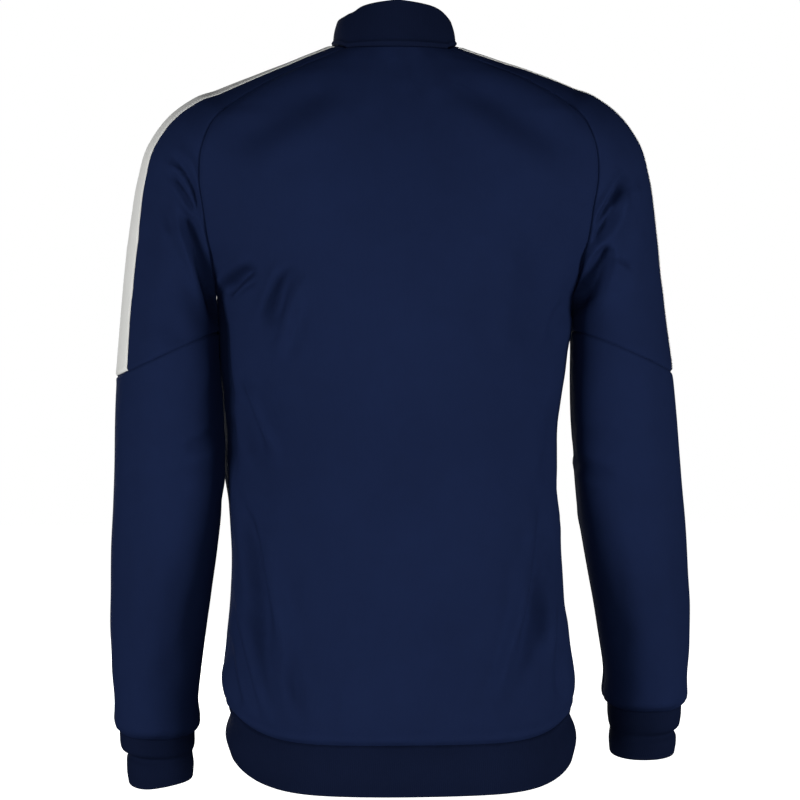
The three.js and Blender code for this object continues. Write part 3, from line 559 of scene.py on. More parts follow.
def upper_sleeve_grid(side, arm_rows=24):
    """A side's upper sleeve from the collar to the elbow seam, laid out as a left one."""
    angle = SHOULDER_ANGLES[:, None]
    section = SHOULDER(angle)
    ends = seam_angle(section, 1), seam_angle(section, -1)
    around = sleeve_angles(*ends, section[0] - section[1], band_turn(side, angle))
    shoulder = shoulder_point(angle, around)
    around = arm_angles(side)
    z = blend(UNDERARM_Z, elbow_seam_z(around), near_end(arm_rows)[1:, None])
    return eased(np.concatenate([shoulder, arm_point(z, np.broadcast_to(around, z.shape))]))


def square_to_forearm(points, amount):
    """Lowers the back of a sleeve and raises its front, as far as the forearm leans forward."""
    middle = ARM(points[..., 2])[2]
    points[..., 2] -= amount * CUFF_TILT * (points[..., 1] - middle)
    return points


def lower_sleeve_grid(side, rows=112):
    """A side's lower sleeve from the elbow seam to the cuff seam, laid out as a left one."""
    around = arm_angles(side)
    part = near_both(rows)[:, None]
    z = blend(elbow_seam_z(around), CUFF_SEAM_Z, part)
    return square_to_forearm(arm_point(z, np.broadcast_to(around, z.shape)), part ** 3)


def cuff_grid(rows=34):
    """The left cuff from its seam to its open end, as a closed ring."""
    around = np.linspace(math.pi, -math.pi, 120, endpoint=False)
    z = blend(CUFF_SEAM_Z, CUFF_BOTTOM_Z + RIB_WALL / 2, near_both(rows)[:, None])
    z = np.broadcast_to(z, (rows, around.size))
    return square_to_forearm(arm_point(z, np.broadcast_to(around, z.shape)), 1)


def resample(line, count):
    """Points along a line, closer together near its ends."""
    along = np.concatenate([[0], np.cumsum(np.linalg.norm(np.diff(line, axis=0), axis=1))])
    places = along[-1] * near_both(count)
    return np.stack([np.interp(places, along, column) for column in line.T], -1)


def mirrored(line):
    """The same line on the other side, in the turned order."""
    return (line * [-1, 1, 1])[::-1]


def outward_of(points):
    """The level direction away from the middle."""
    return unit(points * [1, 1, 0])


def hem_band_grid(seam, rows=30):
    """The hem band: straight down from its seam line, and out by its swell."""
    part = blend(0, 1 - RIB_WALL / 2 / HEM_BAND_HEIGHT, near_both(rows))[:, None]
    swell = HEM_BAND_SWELL(part)[0]
    points = seam + outward_of(seam) * swell[..., None]
    points[..., 2] -= HEM_BAND_HEIGHT * part
    points[:, [0, -1], 0] = seam[[0, -1], 0]
    return points


def collar_point(seam, part):
    """A collar point from its top, part 0, to the neck seam, part 1: on the line between them, and out by
    half a wave. The top is an oval ring that falls towards the front."""
    angle = np.arctan2(seam[..., 0], seam[..., 1])
    depth = np.where(np.cos(angle) > 0, COLLAR_BACK, COLLAR_FRONT)
    x, y = section_point(angle, COLLAR_HALF, depth, 2)
    top = xyz(x, y, COLLAR_HEIGHT(np.abs(np.degrees(angle)))[0])
    return blend(top, seam, part) + outward_of(seam) * COLLAR_SWELL * np.sin(part * math.pi)


def collar_slump(angle):
    """How far the collar's top edge has sunk at an angle from the centre back, in degrees: the sum of a
    wide bell on each side and a small dent on the left."""
    return sum(depth * np.exp(-(((angle - place) / width) ** 2)) for depth, place, width in COLLAR_SLUMPS)


def collar_grid(seam, rows=28):
    """The collar from its top edge to the neck seam. Its slump fades towards the seam."""
    part = blend(RIB_WALL / 2 / 40, 1, near_both(rows))[:, None, None]
    points = collar_point(seam[None], part)
    points[:, [0, -1], 0] = seam[[0, -1], 0]
    angle = np.degrees(np.arctan2(seam[:, 0], seam[:, 1]))
    points[..., 2] -= collar_slump(angle) * (1 - part[..., 0]) ** 1.5
    return points


def hang(points, side="left", is_arm=False):
    """Where points of the left half come to lie on their own side: the arms are stretched below the
    underarm, all sways a little to the side by height, and the left shoulder drops."""
    stretch = np.where(points[..., 2] < UNDERARM_Z, ARM_STRETCH[side], 1) if is_arm else 1
    z = blend(UNDERARM_Z, points[..., 2], stretch)
    x = SIGN[side] * points[..., 0]
    sway = (ARM_SWAY if is_arm else BODY_SWAY)(z)[0]
    drop = SHOULDER_DROP * smooth_step(x, 50, 150) * smooth_step(z, -220, -110)
    hung = xyz(x + sway, points[..., 1], z - drop)
    return hung if side == "left" else hung[:, ::-1]


# Seams and relief

def grid_normals(points, ring=False):
    """The unit normals of a grid: the product of its slopes across and down."""
    if ring:
        across = np.roll(points, -1, 1) - np.roll(points, 1, 1)
    else:
        across = np.gradient(points, axis=1)
    return unit(np.cross(across, np.gradient(points, axis=0)))


def lengths(points, axis):
    """The distance along the grid from its first line to each line."""
    steps = np.linalg.norm(np.diff(points, axis=axis), axis=-1)
    zero = np.zeros_like(np.take(steps, [0], axis))
    return np.concatenate([zero, np.cumsum(steps, axis)], axis)


class Borders:
    """The distance of each grid point to the four borders of its piece."""

    def __init__(self, points):
        across = lengths(points, 1)
        down = lengths(points, 0)
        self.left = across
        self.right = across[:, -1:] - across
        self.top = down
        self.bottom = down[-1:] - down

    def nearest(self, names):
        """The distance to the nearest of the named borders."""
        return np.minimum.reduce([getattr(self, name) for name in names.split()])


def border_lines(grid):
    """The top, right, bottom and left border of a grid, as lines."""
    return {"top": grid[0], "right": grid[:, -1], "bottom": grid[-1], "left": grid[:, 0]}


def joined_normals(bases, normals):
    """For each border line of each piece, the direction that it shares with the pieces sewn on there: the
    mean of its own normal and those of the border points within reach. Where the pieces meet back to
    back and the mean has no length, it turns downwards."""
    lines = [(name, side, line) for name in bases for side, line in border_lines(bases[name]).items()]
    own = {name: border_lines(normals[name]) for name in bases}
    joined = {name: {} for name in bases}
    for name, side, line in lines:
        total = own[name][side].copy()
        for other, other_side, other_line in lines:
            if (other, other_side) == (name, side):
                continue
            apart = np.linalg.norm(line[:, None] - other_line[None], axis=-1)
            close = apart.min(1) < SEAM_REACH
            total[close] += own[other][other_side][apart.argmin(1)][close]
        short = np.maximum(0, 1 - np.linalg.norm(total, axis=-1, keepdims=True))
        joined[name][side] = unit(total + short * [0, 0, -1])
    return joined


def turned_to_seams(normals, joined, borders):
    """The normals, turned to the shared direction of each border by a bell of the distance to it."""
    spread = {
        "top": joined["top"][None], "right": joined["right"][:, None],
        "bottom": joined["bottom"][None], "left": joined["left"][:, None],
    }
    turned = normals.copy()
    for side, shared in spread.items():
        part = np.exp(-((getattr(borders, side) / ROLL_REACH) ** 2))[..., None]
        turned = blend(turned, shared, part)
    return unit(turned)


def creases(points, rows):
    """The height of soft creases seen from the back or the front, in millimetres. Each follows a curve
    through three points. Across it the height is minus the depth times a bell, with half as high a
    shoulder on each side, and one side is steeper by the lean. It fades towards both ends."""
    height = np.zeros(points.shape[:2])
    place = points[..., [0, 2]]
    t = np.linspace(0, 1, 41)[:, None]
    for x1, z1, x2, z2, x3, z3, depth, reach, lean in rows:
        start, middle, end = np.array([[x1, z1], [x2, z2], [x3, z3]])
        control = 2 * middle - (start + end) / 2
        curve = (1 - t) ** 2 * start + 2 * t * (1 - t) * control + t ** 2 * end
        box = 4 * reach
        low = curve.min(0) - box
        high = curve.max(0) + box
        near = np.all((place > low) & (place < high), -1)
        if not near.any():
            continue
        offset = place[near][:, None] - curve
        distance = np.linalg.norm(offset, axis=-1)
        nearest = distance.argmin(1)
        slope = np.gradient(curve, axis=0)[nearest]
        away = offset[np.arange(nearest.size), nearest]
        side = np.sign(slope[:, 0] * away[:, 1] - slope[:, 1] * away[:, 0])
        across = distance.min(1) / (reach * (1 - lean * side))
        bell = np.exp(-(across ** 2)) - 0.42 * np.exp(-(((across - 1.75) / 0.95) ** 2))
        part = t[nearest, 0]
        fade = smooth_step(part, -0.02, 0.3) * smooth_step(1 - part, -0.02, 0.3)
        height[near] -= depth * bell * fade
    return height


def undulation(points, size, amount, shift):
    """A faint unevenness: three waves over the height and the way round, with sizes that don't repeat."""
    x, y, z = np.moveaxis(points, -1, 0)
    waves = np.sin((x + 0.6 * z) / size + shift) + np.sin((0.7 * z - y) / (0.73 * size) + 2.1 * shift)
    return amount * (waves + np.sin((x - y + 0.4 * z) / (1.37 * size) + 3.3 * shift)) / 3


def gathers(along, distance, size, reach, amount):
    """Small ripples across a seam that holds the cloth in, fading with the distance from it."""
    ripple = np.sin(along / size) + 0.6 * np.sin(along / (0.61 * size) + 1.3)
    ripple = ripple + 0.5 * np.sin(along / (1.9 * size) + 0.4)
    return amount * ripple * np.exp(-distance / reach) / 2


# Meshes

class Grid:
    """Collects a mesh's points, its faces and the map place of each face corner."""

    def __init__(self):
        self.points = []
        self.faces = []
        self.maps = []
        self.count = 0

    def add(self, points, faces, places):
        """points is (n, 3), faces (m, 4) and places (m, 4, 2)."""
        self.points.append(points)
        self.faces.append(faces + self.count)
        self.maps.append(places)
        self.count += len(points)

    def quads(self, index, places):
        """Faces between the rows and columns of vertex numbers."""
        corners = [np.s_[:-1, :-1], np.s_[:-1, 1:], np.s_[1:, 1:], np.s_[1:, :-1]]
        faces = np.stack([index[c] for c in corners], -1).reshape(-1, 4)
        spots = np.stack([places[c] for c in corners], -2).reshape(-1, 4, 2)
        return faces, spots


def cloth_mesh(name, outer, facing, wall, bulge, ring):
    """A closed wall of cloth: the outer grid, the same grid one wall further in against the way it faces,
    and round their whole border a rounded rim, half an oval that stands out by the bulge of each side."""
    inner = outer - wall * facing
    rows, columns = outer.shape[:2]
    number = np.arange(rows * columns).reshape(rows, columns)
    wrapped = np.concatenate([outer, outer[:, :1]], 1) if ring else outer
    if ring:
        number = np.concatenate([number, number[:, :1]], 1)

    # The map: metres across from the middle column, and down along it
    middle = wrapped.shape[1] // 2
    across = lengths(wrapped, 1)
    across = across - across[:, middle:middle + 1]
    down = np.broadcast_to(lengths(wrapped, 0)[:, middle:middle + 1], across.shape)
    places = np.stack([across, down], -1) / METRE

    # The outer and the inner side
    mesh = Grid()
    faces, spots = mesh.quads(number, places)
    size = rows * columns
    points = [outer.reshape(-1, 3), inner.reshape(-1, 3)]
    all_faces = [faces, faces[:, ::-1] + size]
    all_spots = [spots, spots[:, ::-1]]

    # The border's vertices, clockwise from the top left, and the way that the rim stands out at each
    last_row, last_column = number.shape[0] - 1, number.shape[1] - 1
    slope_down = unit(np.gradient(outer, axis=0)).reshape(-1, 3)
    slope_across = unit(np.gradient(outer, axis=1)).reshape(-1, 3)
    flat = np.zeros((size, 3))
    sides = {
        "top": (number[0, :], -slope_down),
        "right": (number[:, last_column], slope_across),
        "bottom": (number[last_row, ::-1], slope_down),
        "left": (number[::-1, 0], -slope_across),
    }
    for side, (border, slope) in sides.items():
        if not (ring and side in ("right", "left")):
            flat[np.unique(border)] += slope[np.unique(border)] * bulge[side]
    loops = [sides["top"][0], sides["bottom"][0]] if ring else [
        np.concatenate([border[:-1] for border, _ in sides.values()] + [number[0, :1]])
    ]

    # The rim: rings of vertices on half an oval from the outer side to the inner one
    place_of = np.zeros((size, 2))
    place_of[number[:, :columns].ravel()] = places[:, :columns].reshape(-1, 2)
    turn = np.linspace(0, math.pi, RIM_STEPS + 1)[1:-1, None, None]
    offset = 2 * size
    for loop in loops:
        once = loop[:-1]
        top, low = points[0][once], points[1][once]
        ring_points = (top + low) / 2 + np.cos(turn) * (top - low) / 2 + np.sin(turn) * flat[once]
        levels = offset + np.arange(ring_points.shape[0] * once.size).reshape(-1, once.size)
        index = np.concatenate([once[None], levels, once[None] + size])
        index = np.concatenate([index, index[:, :1]], 1)[:, ::-1]
        rim_places = np.broadcast_to(place_of[loop][::-1], (*index.shape, 2)).copy()
        rim_places[..., 1] += np.linspace(0, wall / METRE, len(index))[:, None]
        rim_faces, rim_spots = mesh.quads(index, rim_places)
        points.append(ring_points.reshape(-1, 3))
        all_faces.append(rim_faces)
        all_spots.append(rim_spots)
        offset += levels.size
    mesh.add(np.concatenate(points), np.concatenate(all_faces), np.concatenate(all_spots))
    return make_object(name, mesh)


def make_object(name, grid):
    """A Blender object from collected points, faces and map places, smoothly shaded."""
    points = np.concatenate(grid.points) / METRE
    faces = np.concatenate(grid.faces)
    mesh = bpy.data.meshes.new(name)
    mesh.vertices.add(len(points))
    mesh.vertices.foreach_set("co", points.ravel())
    mesh.loops.add(faces.size)
    mesh.loops.foreach_set("vertex_index", faces.ravel())
    mesh.polygons.add(len(faces))
    mesh.polygons.foreach_set("loop_start", np.arange(0, faces.size, 4))
    mesh.polygons.foreach_set("use_smooth", np.ones(len(faces), bool))
    layer = mesh.uv_layers.new(name="cloth")
    layer.data.foreach_set("uv", np.concatenate(grid.maps).ravel())
    mesh.update(calc_edges=True)
    mesh.validate()
    piece = bpy.data.objects.new(name, mesh)
    bpy.context.scene.collection.objects.link(piece)
    return piece


# Finishes

class Number:
    """A number that varies over a surface. Arithmetic on it adds Math nodes to its material."""

    def __init__(self, finish, socket):
        self.finish = finish
        self.socket = socket

    def __add__(self, other):
        return self.finish.math("ADD", self, other)

    def __sub__(self, other):
        return self.finish.math("SUBTRACT", self, other)

    def __rsub__(self, other):
        return self.finish.math("SUBTRACT", other, self)

    def __mul__(self, other):
        return self.finish.math("MULTIPLY", self, other)

    def __truediv__(self, other):
        return self.finish.math("DIVIDE", self, other)

    def __pow__(self, other):
        return self.finish.math("POWER", self, other)

    __radd__ = __add__
    __rmul__ = __mul__


class Finish:
    """A material. Constants are set on its shader's own sockets, and one method adds every node."""

    def __init__(self, name, **constants):
        self.material = bpy.data.materials.new(name)
        self.material.use_nodes = True
        self.tree = self.material.node_tree
        self.tree.nodes.clear()
        self.shader = self.tree.nodes.new("ShaderNodeBsdfPrincipled")
        output = self.tree.nodes.new("ShaderNodeOutputMaterial")
        self.tree.links.new(self.shader.outputs[0], output.inputs["Surface"])
        for socket, value in constants.items():
            self.set(socket.replace("_", " "), value)

    def set(self, socket, value):
        """Gives the shader's socket a value or a link."""
        self.fill(self.shader.inputs[socket], value)

    def fill(self, socket, value):
        """Links a Number or a socket to the socket, or sets the socket's own value."""
        if isinstance(value, Number):
            value = value.socket
        if isinstance(value, bpy.types.NodeSocket):
            self.tree.links.new(value, socket)
        else:
            socket.default_value = value

    def node(self, kind, inputs=None, output=0, stops=None, **settings):
        """Adds a node: its settings and a ramp's stops first, then its sockets' values or links."""
        node = self.tree.nodes.new(kind)
        for name, value in settings.items():
            setattr(node, name, value)
        for place, colour in stops or []:
            node.color_ramp.elements.new(place).color = (*colour, 1)
        if stops:
            node.color_ramp.elements.remove(node.color_ramp.elements[0])
            node.color_ramp.elements.remove(node.color_ramp.elements[-1])
        for name, value in (inputs or {}).items():
            self.fill(node.inputs[name], value)
        return Number(self, node.outputs[output])

    def math(self, operation, *values):
        """Adds a Math node of the operation on the values."""
        return self.node("ShaderNodeMath", dict(enumerate(values)), operation=operation)

    def wave(self, value):
        """A triangle wave of period 1: 0 at whole numbers and 1 halfway between."""
        return self.math("PINGPONG", value, 0.5) * 2

    def mix(self, factor, first, second):
        """The first colour at factor 0 and the second at 1."""
        return self.node("ShaderNodeMix", {0: factor, 6: first, 7: second}, 2, data_type="RGBA")

    def noise(self, scale, detail=2):
        """Smooth noise around 0.5 in object coordinates, with the scale in patches a metre."""
        vector = self.node("ShaderNodeTexCoord", output="Object")
        return self.node("ShaderNodeTexNoise", {"Vector": vector, "Scale": scale, "Detail": detail})

    def map_place(self):
        """The two coordinates of the piece's own map, in metres across and down the cloth."""
        place = self.node("ShaderNodeUVMap", uv_map="cloth")
        return [self.node("ShaderNodeSeparateXYZ", {0: place}, axis) for axis in (0, 1)]

    def bump(self, height, distance, strength):
        """Raises the surface by height times the distance in metres."""
        inputs = {"Height": height, "Distance": distance, "Strength": strength}
        self.set("Normal", self.node("ShaderNodeBump", inputs))


def linear(red, green, blue):
    """A colour from values of 0 to 255 as a screen shows them."""
    values = np.array([red, green, blue]) / 255
    light = np.where(values > 0.04045, ((values + 0.055) / 1.055) ** 2.4, values / 12.92)
    return (*light.tolist(), 1)


def knit_height(finish, wale, course):
    """Rows of small V shaped loops: raised in the middle of each column, slanted down both of its legs."""
    across, down = finish.map_place()
    column = finish.wave(across / wale)
    leg = finish.wave(down / course + column * 0.5)
    return column ** 0.7 * 0.6 + leg * 0.4


def knit_finish(name, dark, light, wale, course, depth, roughness, sheen):
    """Smooth knit: loops as bump, with painted shade darkening the hollows between them, and soft uneven
    patches of colour.
    """
    finish = Finish(name, Sheen_Weight=sheen, Sheen_Roughness=0.5, Specular_IOR_Level=0.02)
    finish.set("Sheen Tint", linear(70, 90, 160))
    height = knit_height(finish, wale, course)
    patches = finish.noise(9, 3) * 0.75 + finish.noise(90, 2) * 0.25
    tone = finish.mix(patches, linear(*dark), linear(*light))
    # Base colour darker where the loops are low: painted shade in the hollows between them
    tone_with_painted_shade = finish.mix(height * 0.45 + 0.55, linear(*[part * 0.62 for part in dark]), tone)
    finish.set("Base Color", tone_with_painted_shade)
    finish.set("Roughness", roughness - 0.1 * finish.noise(35, 2))
    finish.bump(height, depth, 0.55)
    return finish.material


def rib_finish(name, dark, light, pitch, depth):
    """Fine ribbing: rounded ribs that run down the piece, each with small cross loops."""
    finish = Finish(name, Sheen_Weight=0.01, Sheen_Roughness=0.5, Specular_IOR_Level=0.02)
    finish.set("Sheen Tint", linear(70, 90, 160))
    across, down = finish.map_place()
    rib = finish.wave(across / pitch)
    loops = finish.wave(down / (pitch * 0.45) + rib * 0.5)
    height = rib ** 0.6 * 0.8 + loops * 0.2
    patches = finish.noise(11, 3) * 0.8 + finish.noise(80, 2) * 0.2
    tone = finish.mix(patches, linear(*dark), linear(*light))
    # Base colour darker where the ribs are low: painted shade between the ribs, over random patches of tone
    finish.set("Base Color", finish.mix(height * 0.4 + 0.6, linear(*[part * 0.6 for part in dark]), tone))
    finish.set("Roughness", 0.92 - 0.08 * finish.noise(40, 2))
    finish.bump(height, depth, 0.6)
    return finish.material


def tape_finish(name, colour):
    """Woven tape: a fine twill of slanted threads."""
    finish = Finish(name, Specular_IOR_Level=0.3)
    across, down = finish.map_place()
    twill = finish.wave((across + down) / 0.0011)
    cross = finish.wave((across - down) / 0.0006)
    height = twill * 0.7 + cross * 0.3
    # Base colour darker where the twill is low: painted shade in the weave, mixed with random tone from
    # noise
    dark = linear(*[part * 0.6 for part in colour])
    finish.set("Base Color", finish.mix(height * 0.5 + 0.5 * finish.noise(60, 2), dark, linear(*colour)))
    finish.set("Roughness", 0.85 - 0.1 * height)
    finish.bump(height, 0.0001, 0.6)
    return finish.material


def moulded_finish(name, colour, roughness):
    """Moulded plastic: faint mottling and a fine grain."""
    finish = Finish(name)
    mottle = finish.noise(160, 3)
    light = linear(*[min(255, part * 1.35) for part in colour])
    finish.set("Base Color", finish.mix(mottle, linear(*colour), light))
    finish.set("Roughness", roughness + 0.15 * finish.noise(900, 2))
    finish.bump(finish.noise(2500, 2), 0.00003, 0.4)
    return finish.material


def lacquer_finish(name, colour):
    """Lacquered metal: a smooth dark coat with slight wear towards the metal on what stands out."""
    finish = Finish(name, Metallic=0.0, Coat_Weight=0.35, Coat_Roughness=0.2)
    rubbed = finish.node("ShaderNodeNewGeometry", output="Pointiness")
    wear = finish.math("SMOOTH_MIN", finish.noise(450, 4) * 0.6 + rubbed * 0.6, 1.0, 0.1) ** 4
    finish.set("Base Color", finish.mix(wear, linear(*colour), linear(92, 96, 108)))
    finish.set("Roughness", 0.34 + 0.22 * finish.noise(700, 3))
    finish.bump(finish.noise(1400, 2), 0.00002, 0.3)
    return finish.material


NAVY = knit_finish(
    "navy knit", (21, 31, 60), (28, 41, 77),
    wale=0.0011, course=0.0009, depth=0.00014, roughness=0.86, sheen=0.03,
)
NAVY_RIB = rib_finish("navy rib knit", (14, 21, 42), (19, 28, 54), pitch=0.0019, depth=0.00028)
OFF_WHITE = knit_finish(
    "off-white knit", (236, 237, 233), (250, 250, 247),
    wale=0.0009, course=0.0008, depth=0.0001, roughness=0.86, sheen=0.03,
)
TAPE = tape_finish("navy woven tape", (24, 31, 55))
TEETH = moulded_finish("navy moulded teeth", (22, 28, 48), roughness=0.42)
LACQUER = lacquer_finish("navy lacquered metal", (24, 30, 50))
WHITE_THREAD = moulded_finish("off-white thread", (214, 215, 210), roughness=0.7)


# Pieces of cloth

def place_piece(piece, material, body=JACKET):
    """Gives a piece its material and lets it ride on its body."""
    piece.data.materials.append(material)
    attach(piece, body)


def cloth(node, base, relief, wall, material, slot, sewn, free="", ring=False):
    """A cloth piece on its solid's form: the relief raises the base grid along its normals, and each sewn
    edge rolls in towards its seam by a bell of the distance to it. Free edges get a full round rim. It also
    works out the flat size and area of the base grid, which nothing uses."""
    borders = Borders(base)
    height = relief.copy()
    for side in sewn.split():
        height -= ROLL_DEPTH * np.exp(-((getattr(borders, side) / ROLL_REACH) ** 2))

    def facing(points):
        """The grid's normals, turned to those of the pieces that it is sewn to."""
        normals = grid_normals(points, ring)
        return turned_to_seams(normals, JOINED[node], borders) if node in JOINED else normals

    outer = base + facing(base) * height[..., None]
    bulge = {side: SEAM_BULGE for side in sewn.split()}
    bulge.update({side: wall / 2 for side in free.split()})
    piece = cloth_mesh(f"{node}_cloth", outer, facing(outer), wall, bulge, ring)
    place_piece(piece, material)
    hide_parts(node)
    closed = np.concatenate([base, base[:, :1]], 1) if ring else base
    cells = np.cross(closed[1:, 1:] - closed[:-1, :-1], closed[:-1, 1:] - closed[1:, :-1])
    flat = (lengths(closed, 1)[:, -1].max() / METRE, lengths(closed, 0)[-1].max() / METRE)
    return outer


def contact(points, depth, y, near):
    """The left arm hangs against the body down to a height of -400. There each stands out towards the
    other: by its depth at that height, and a bell of the distance from its own y."""
    return depth(points[..., 2])[0] * near * np.exp(-(((points[..., 1] - y) / CONTACT_REACH) ** 2))


def arm_hollow(points):
    """The hollow of the back's left edge beside the arm: a bell of the distance from y = 32, by height."""
    x, y, z = np.moveaxis(points, -1, 0)
    level = smooth_step(-z, 232, 275) * (1 - smooth_step(-z, 375, 418))
    return HOLLOW * level * smooth_step(x, 128, 146) * np.exp(-(((y - 32) / 13) ** 2))


def body_relief(base, rows):
    """The relief of a body panel: its creases and a faint unevenness, faded at its seams, with ripples
    over the hem seam, where the cloth hangs over a little, and the hollow and the contact beside the arm."""
    borders = Borders(base)
    free = smooth_step(borders.nearest("left right bottom"), 0, 14) * smooth_step(borders.top, 0, 4)
    height = (creases(base, rows) + undulation(base, size=31, amount=0.55, shift=0.4)) * free
    across = borders.left - borders.left[:, [base.shape[1] // 2]]
    ripples = gathers(across, borders.bottom, size=7.5, reach=20, amount=0.8)
    height += ripples * smooth_step(borders.bottom, 0, 5)
    height += HEM_OVERHANG * np.exp(-(((borders.bottom - 5) / 3.4) ** 2))
    height -= arm_hollow(base) * smooth_step(borders.nearest("left right"), 0, 10)
    left_side = smooth_step(base[..., 0], 120, 145)
    return height + contact(base, BODY_CONTACT, BODY_CONTACT_Y, left_side)


def sleeve_relief(base, side, rows, bottom_seam):
    """The relief of a sleeve: the creases of its back and its front side, each faded where the surface
    turns to the other, a faint unevenness, and the contact with the body."""
    borders = Borders(base)
    most = base[..., 1].max(1, keepdims=True)
    least = base[..., 1].min(1, keepdims=True)
    middle = (most + least) / 2
    half = (most - least) / 2
    to_back = smooth_step((base[..., 1] - middle) / half, -0.3, 0.3)
    height = creases(base, rows[side, 1]) * to_back + creases(base, rows[side, -1]) * (1 - to_back)
    height += undulation(base, size=27, amount=0.6, shift=1.1 + SIGN[side])
    height *= smooth_step(borders.nearest("left right"), 0, 9)
    height *= smooth_step(borders.top, 0, 8) * smooth_step(borders.bottom, 0, bottom_seam)
    inner_side = smooth_step(base[..., 0], 120, 145) * (1 - smooth_step(base[..., 0], 188, 212))
    return height + contact(base, ARM_CONTACT, ARM_CONTACT_Y, inner_side)


# Every piece's place before its relief
back_base = back_grid()
front_base = front_grid()
upper_bases = {side: upper_sleeve_grid(side) for side in SIGN}
neck_line = np.concatenate([
    mirrored(front_base[0]),
    mirrored(upper_bases["right"][0])[1:],
    back_base[0][1:],
    upper_bases["left"][0][1:],
    front_base[0][1:],
])
hem_line = np.concatenate([mirrored(front_base[-1]), back_base[-1][1:], front_base[-1][1:]])
BASES = {
    "back": hang(back_base),
    "collar": hang(collar_grid(resample(neck_line, 250))),
    "hem_band": hang(hem_band_grid(resample(hem_line, 420))),
}
for side in SIGN:
    BASES[f"front_{side}"] = hang(front_base, side)
    BASES[f"sleeve_upper_{side}"] = hang(upper_bases[side], side, True)
    BASES[f"sleeve_lower_{side}"] = hang(lower_sleeve_grid(side), side, True)
    BASES[f"cuff_{side}"] = hang(cuff_grid(), side, True)
JOINED = joined_normals(BASES, {name: grid_normals(BASES[name], "cuff" in name) for name in BASES})
OUTER = {}


def make_panel(node, rows):
    """The back or a front, with its creases."""
    relief = body_relief(BASES[node], rows)
    OUTER[node] = cloth(node, BASES[node], relief, KNIT_WALL, NAVY, "knit", ALL_SIDES)


def make_upper_sleeve(side):
    """The upper sleeve, and the pale band on it: the sleeve's own surface near its outer line, moved out."""
    node = f"sleeve_upper_{side}"
    relief = sleeve_relief(BASES[node], side, SLEEVE_CREASES, 8)
    OUTER[node] = cloth(node, BASES[node], relief, KNIT_WALL, NAVY, "knit", ALL_SIDES)
    under = OUTER[node][BAND_FIRST_ROW:, BAND_COLUMNS]
    band = under + grid_normals(under) * (BAND_OFF + BAND_WALL)
    node = f"shoulder_band_{side}"
    level = np.zeros(band.shape[:2])
    OUTER[node] = cloth(node, band, level, BAND_WALL, OFF_WHITE, "pale_band", "top bottom", "left right")


def make_lower_sleeve(side):
    """The lower sleeve, which hangs over the cuff's seam and is gathered there."""
    node = f"sleeve_lower_{side}"
    base = BASES[node]
    borders = Borders(base)
    ripples = gathers(borders.left, borders.bottom, size=5.5, reach=16, amount=0.8)
    relief = sleeve_relief(base, side, FOREARM_CREASES, 10)
    relief += CUFF_OVERHANG * smooth_step(borders.bottom, 0, 4.5) * np.exp(-((borders.bottom / 19) ** 2))
    relief += ripples * smooth_step(borders.nearest("bottom left right"), 0, 6)
    OUTER[node] = cloth(node, base, relief, KNIT_WALL, NAVY, "knit", ALL_SIDES)


def make_cuff(side):
    """The cuff: fuller above a level crease round its middle, deepest on the outer side, and drawn in a
    little below it."""
    node = f"cuff_{side}"
    base = BASES[node].copy()
    down = Borders(base).top
    aside = np.abs(base[..., 0])
    outer = smooth_step((aside - aside.min()) / np.ptp(aside), 0.1, 0.8)
    place = CUFF_CREASE[side]
    base[..., 2] += CUFF_RISE[side] * (1 - outer) * smooth_step(down, 14, 54)
    above = smooth_step(down, 0, 5) * (1 - smooth_step(down, place - 8, place))
    crease = np.exp(-(((down - place) / 3.2) ** 2)) * (0.05 + 0.95 * outer)
    relief = CUFF_FULLNESS * above * (0.5 + 0.5 * outer) - CUFF_CREASE_DEPTH * crease
    relief -= CUFF_STEP[side] * outer * smooth_step(down, place - 6, place)
    relief += undulation(base, size=12, amount=0.5, shift=0.7 + SIGN[side]) * smooth_step(down, 0, 8)
    OUTER[node] = cloth(node, base, relief, RIB_WALL, NAVY_RIB, "rib_knit", "top", "bottom", ring=True)


def make_collar():
    """The collar, with a low ridge above its seam."""
    base = BASES["collar"]
    borders = Borders(base)
    free = smooth_step(borders.nearest("bottom left right"), 0, 8)
    relief = undulation(base, size=15, amount=0.5, shift=0.9) * free
    relief += NECK_RIDGE * np.exp(-(((borders.bottom - NECK_RIDGE_PLACE) / 1.6) ** 2))
    sides = "right bottom left", "top"
    OUTER["collar"] = cloth("collar", base, relief, RIB_WALL, NAVY_RIB, "rib_knit", *sides)


def make_hem_band():
    """The hem band, rippled below its seam and drawn in there at its two sides."""
    base = BASES["hem_band"]
    borders = Borders(base)
    across = borders.left - borders.left[:, [base.shape[1] // 2]]
    ripples = gathers(across, borders.top, size=7.5, reach=18, amount=0.7)
    relief = ripples * smooth_step(borders.top, 0, 5)
    free = smooth_step(borders.nearest("top left right"), 0, 10)
    relief += undulation(base, size=24, amount=0.8, shift=0.2) * free
    drawn_in = np.exp(-(((borders.top - 9) / 11) ** 2)) * smooth_step(borders.top, 0, 7)
    relief -= HEM_DRAWN_IN * drawn_in * smooth_step(np.abs(base[..., 0]), 138, 160)
    sides = "top right left", "bottom"
    OUTER["hem_band"] = cloth("hem_band", base, relief, RIB_WALL, NAVY_RIB, "rib_knit", *sides)


make_panel("back", BACK_CREASES)
make_collar()
make_hem_band()
for side in SIGN:
    make_panel(f"front_{side}", FRONT_CREASES)
    make_upper_sleeve(side)
    make_lower_sleeve(side)
    make_cuff(side)


# The zip: two woven tapes behind the front edges, and the chain of teeth between them
TAPE_INNER = 1.9
TAPE_OUTER = 14
TAPE_COLUMNS = 7
TAPE_DEPTH = 3.8
TAPE_TOP_Z = -13
CHAIN_TOP_Z = -21.5


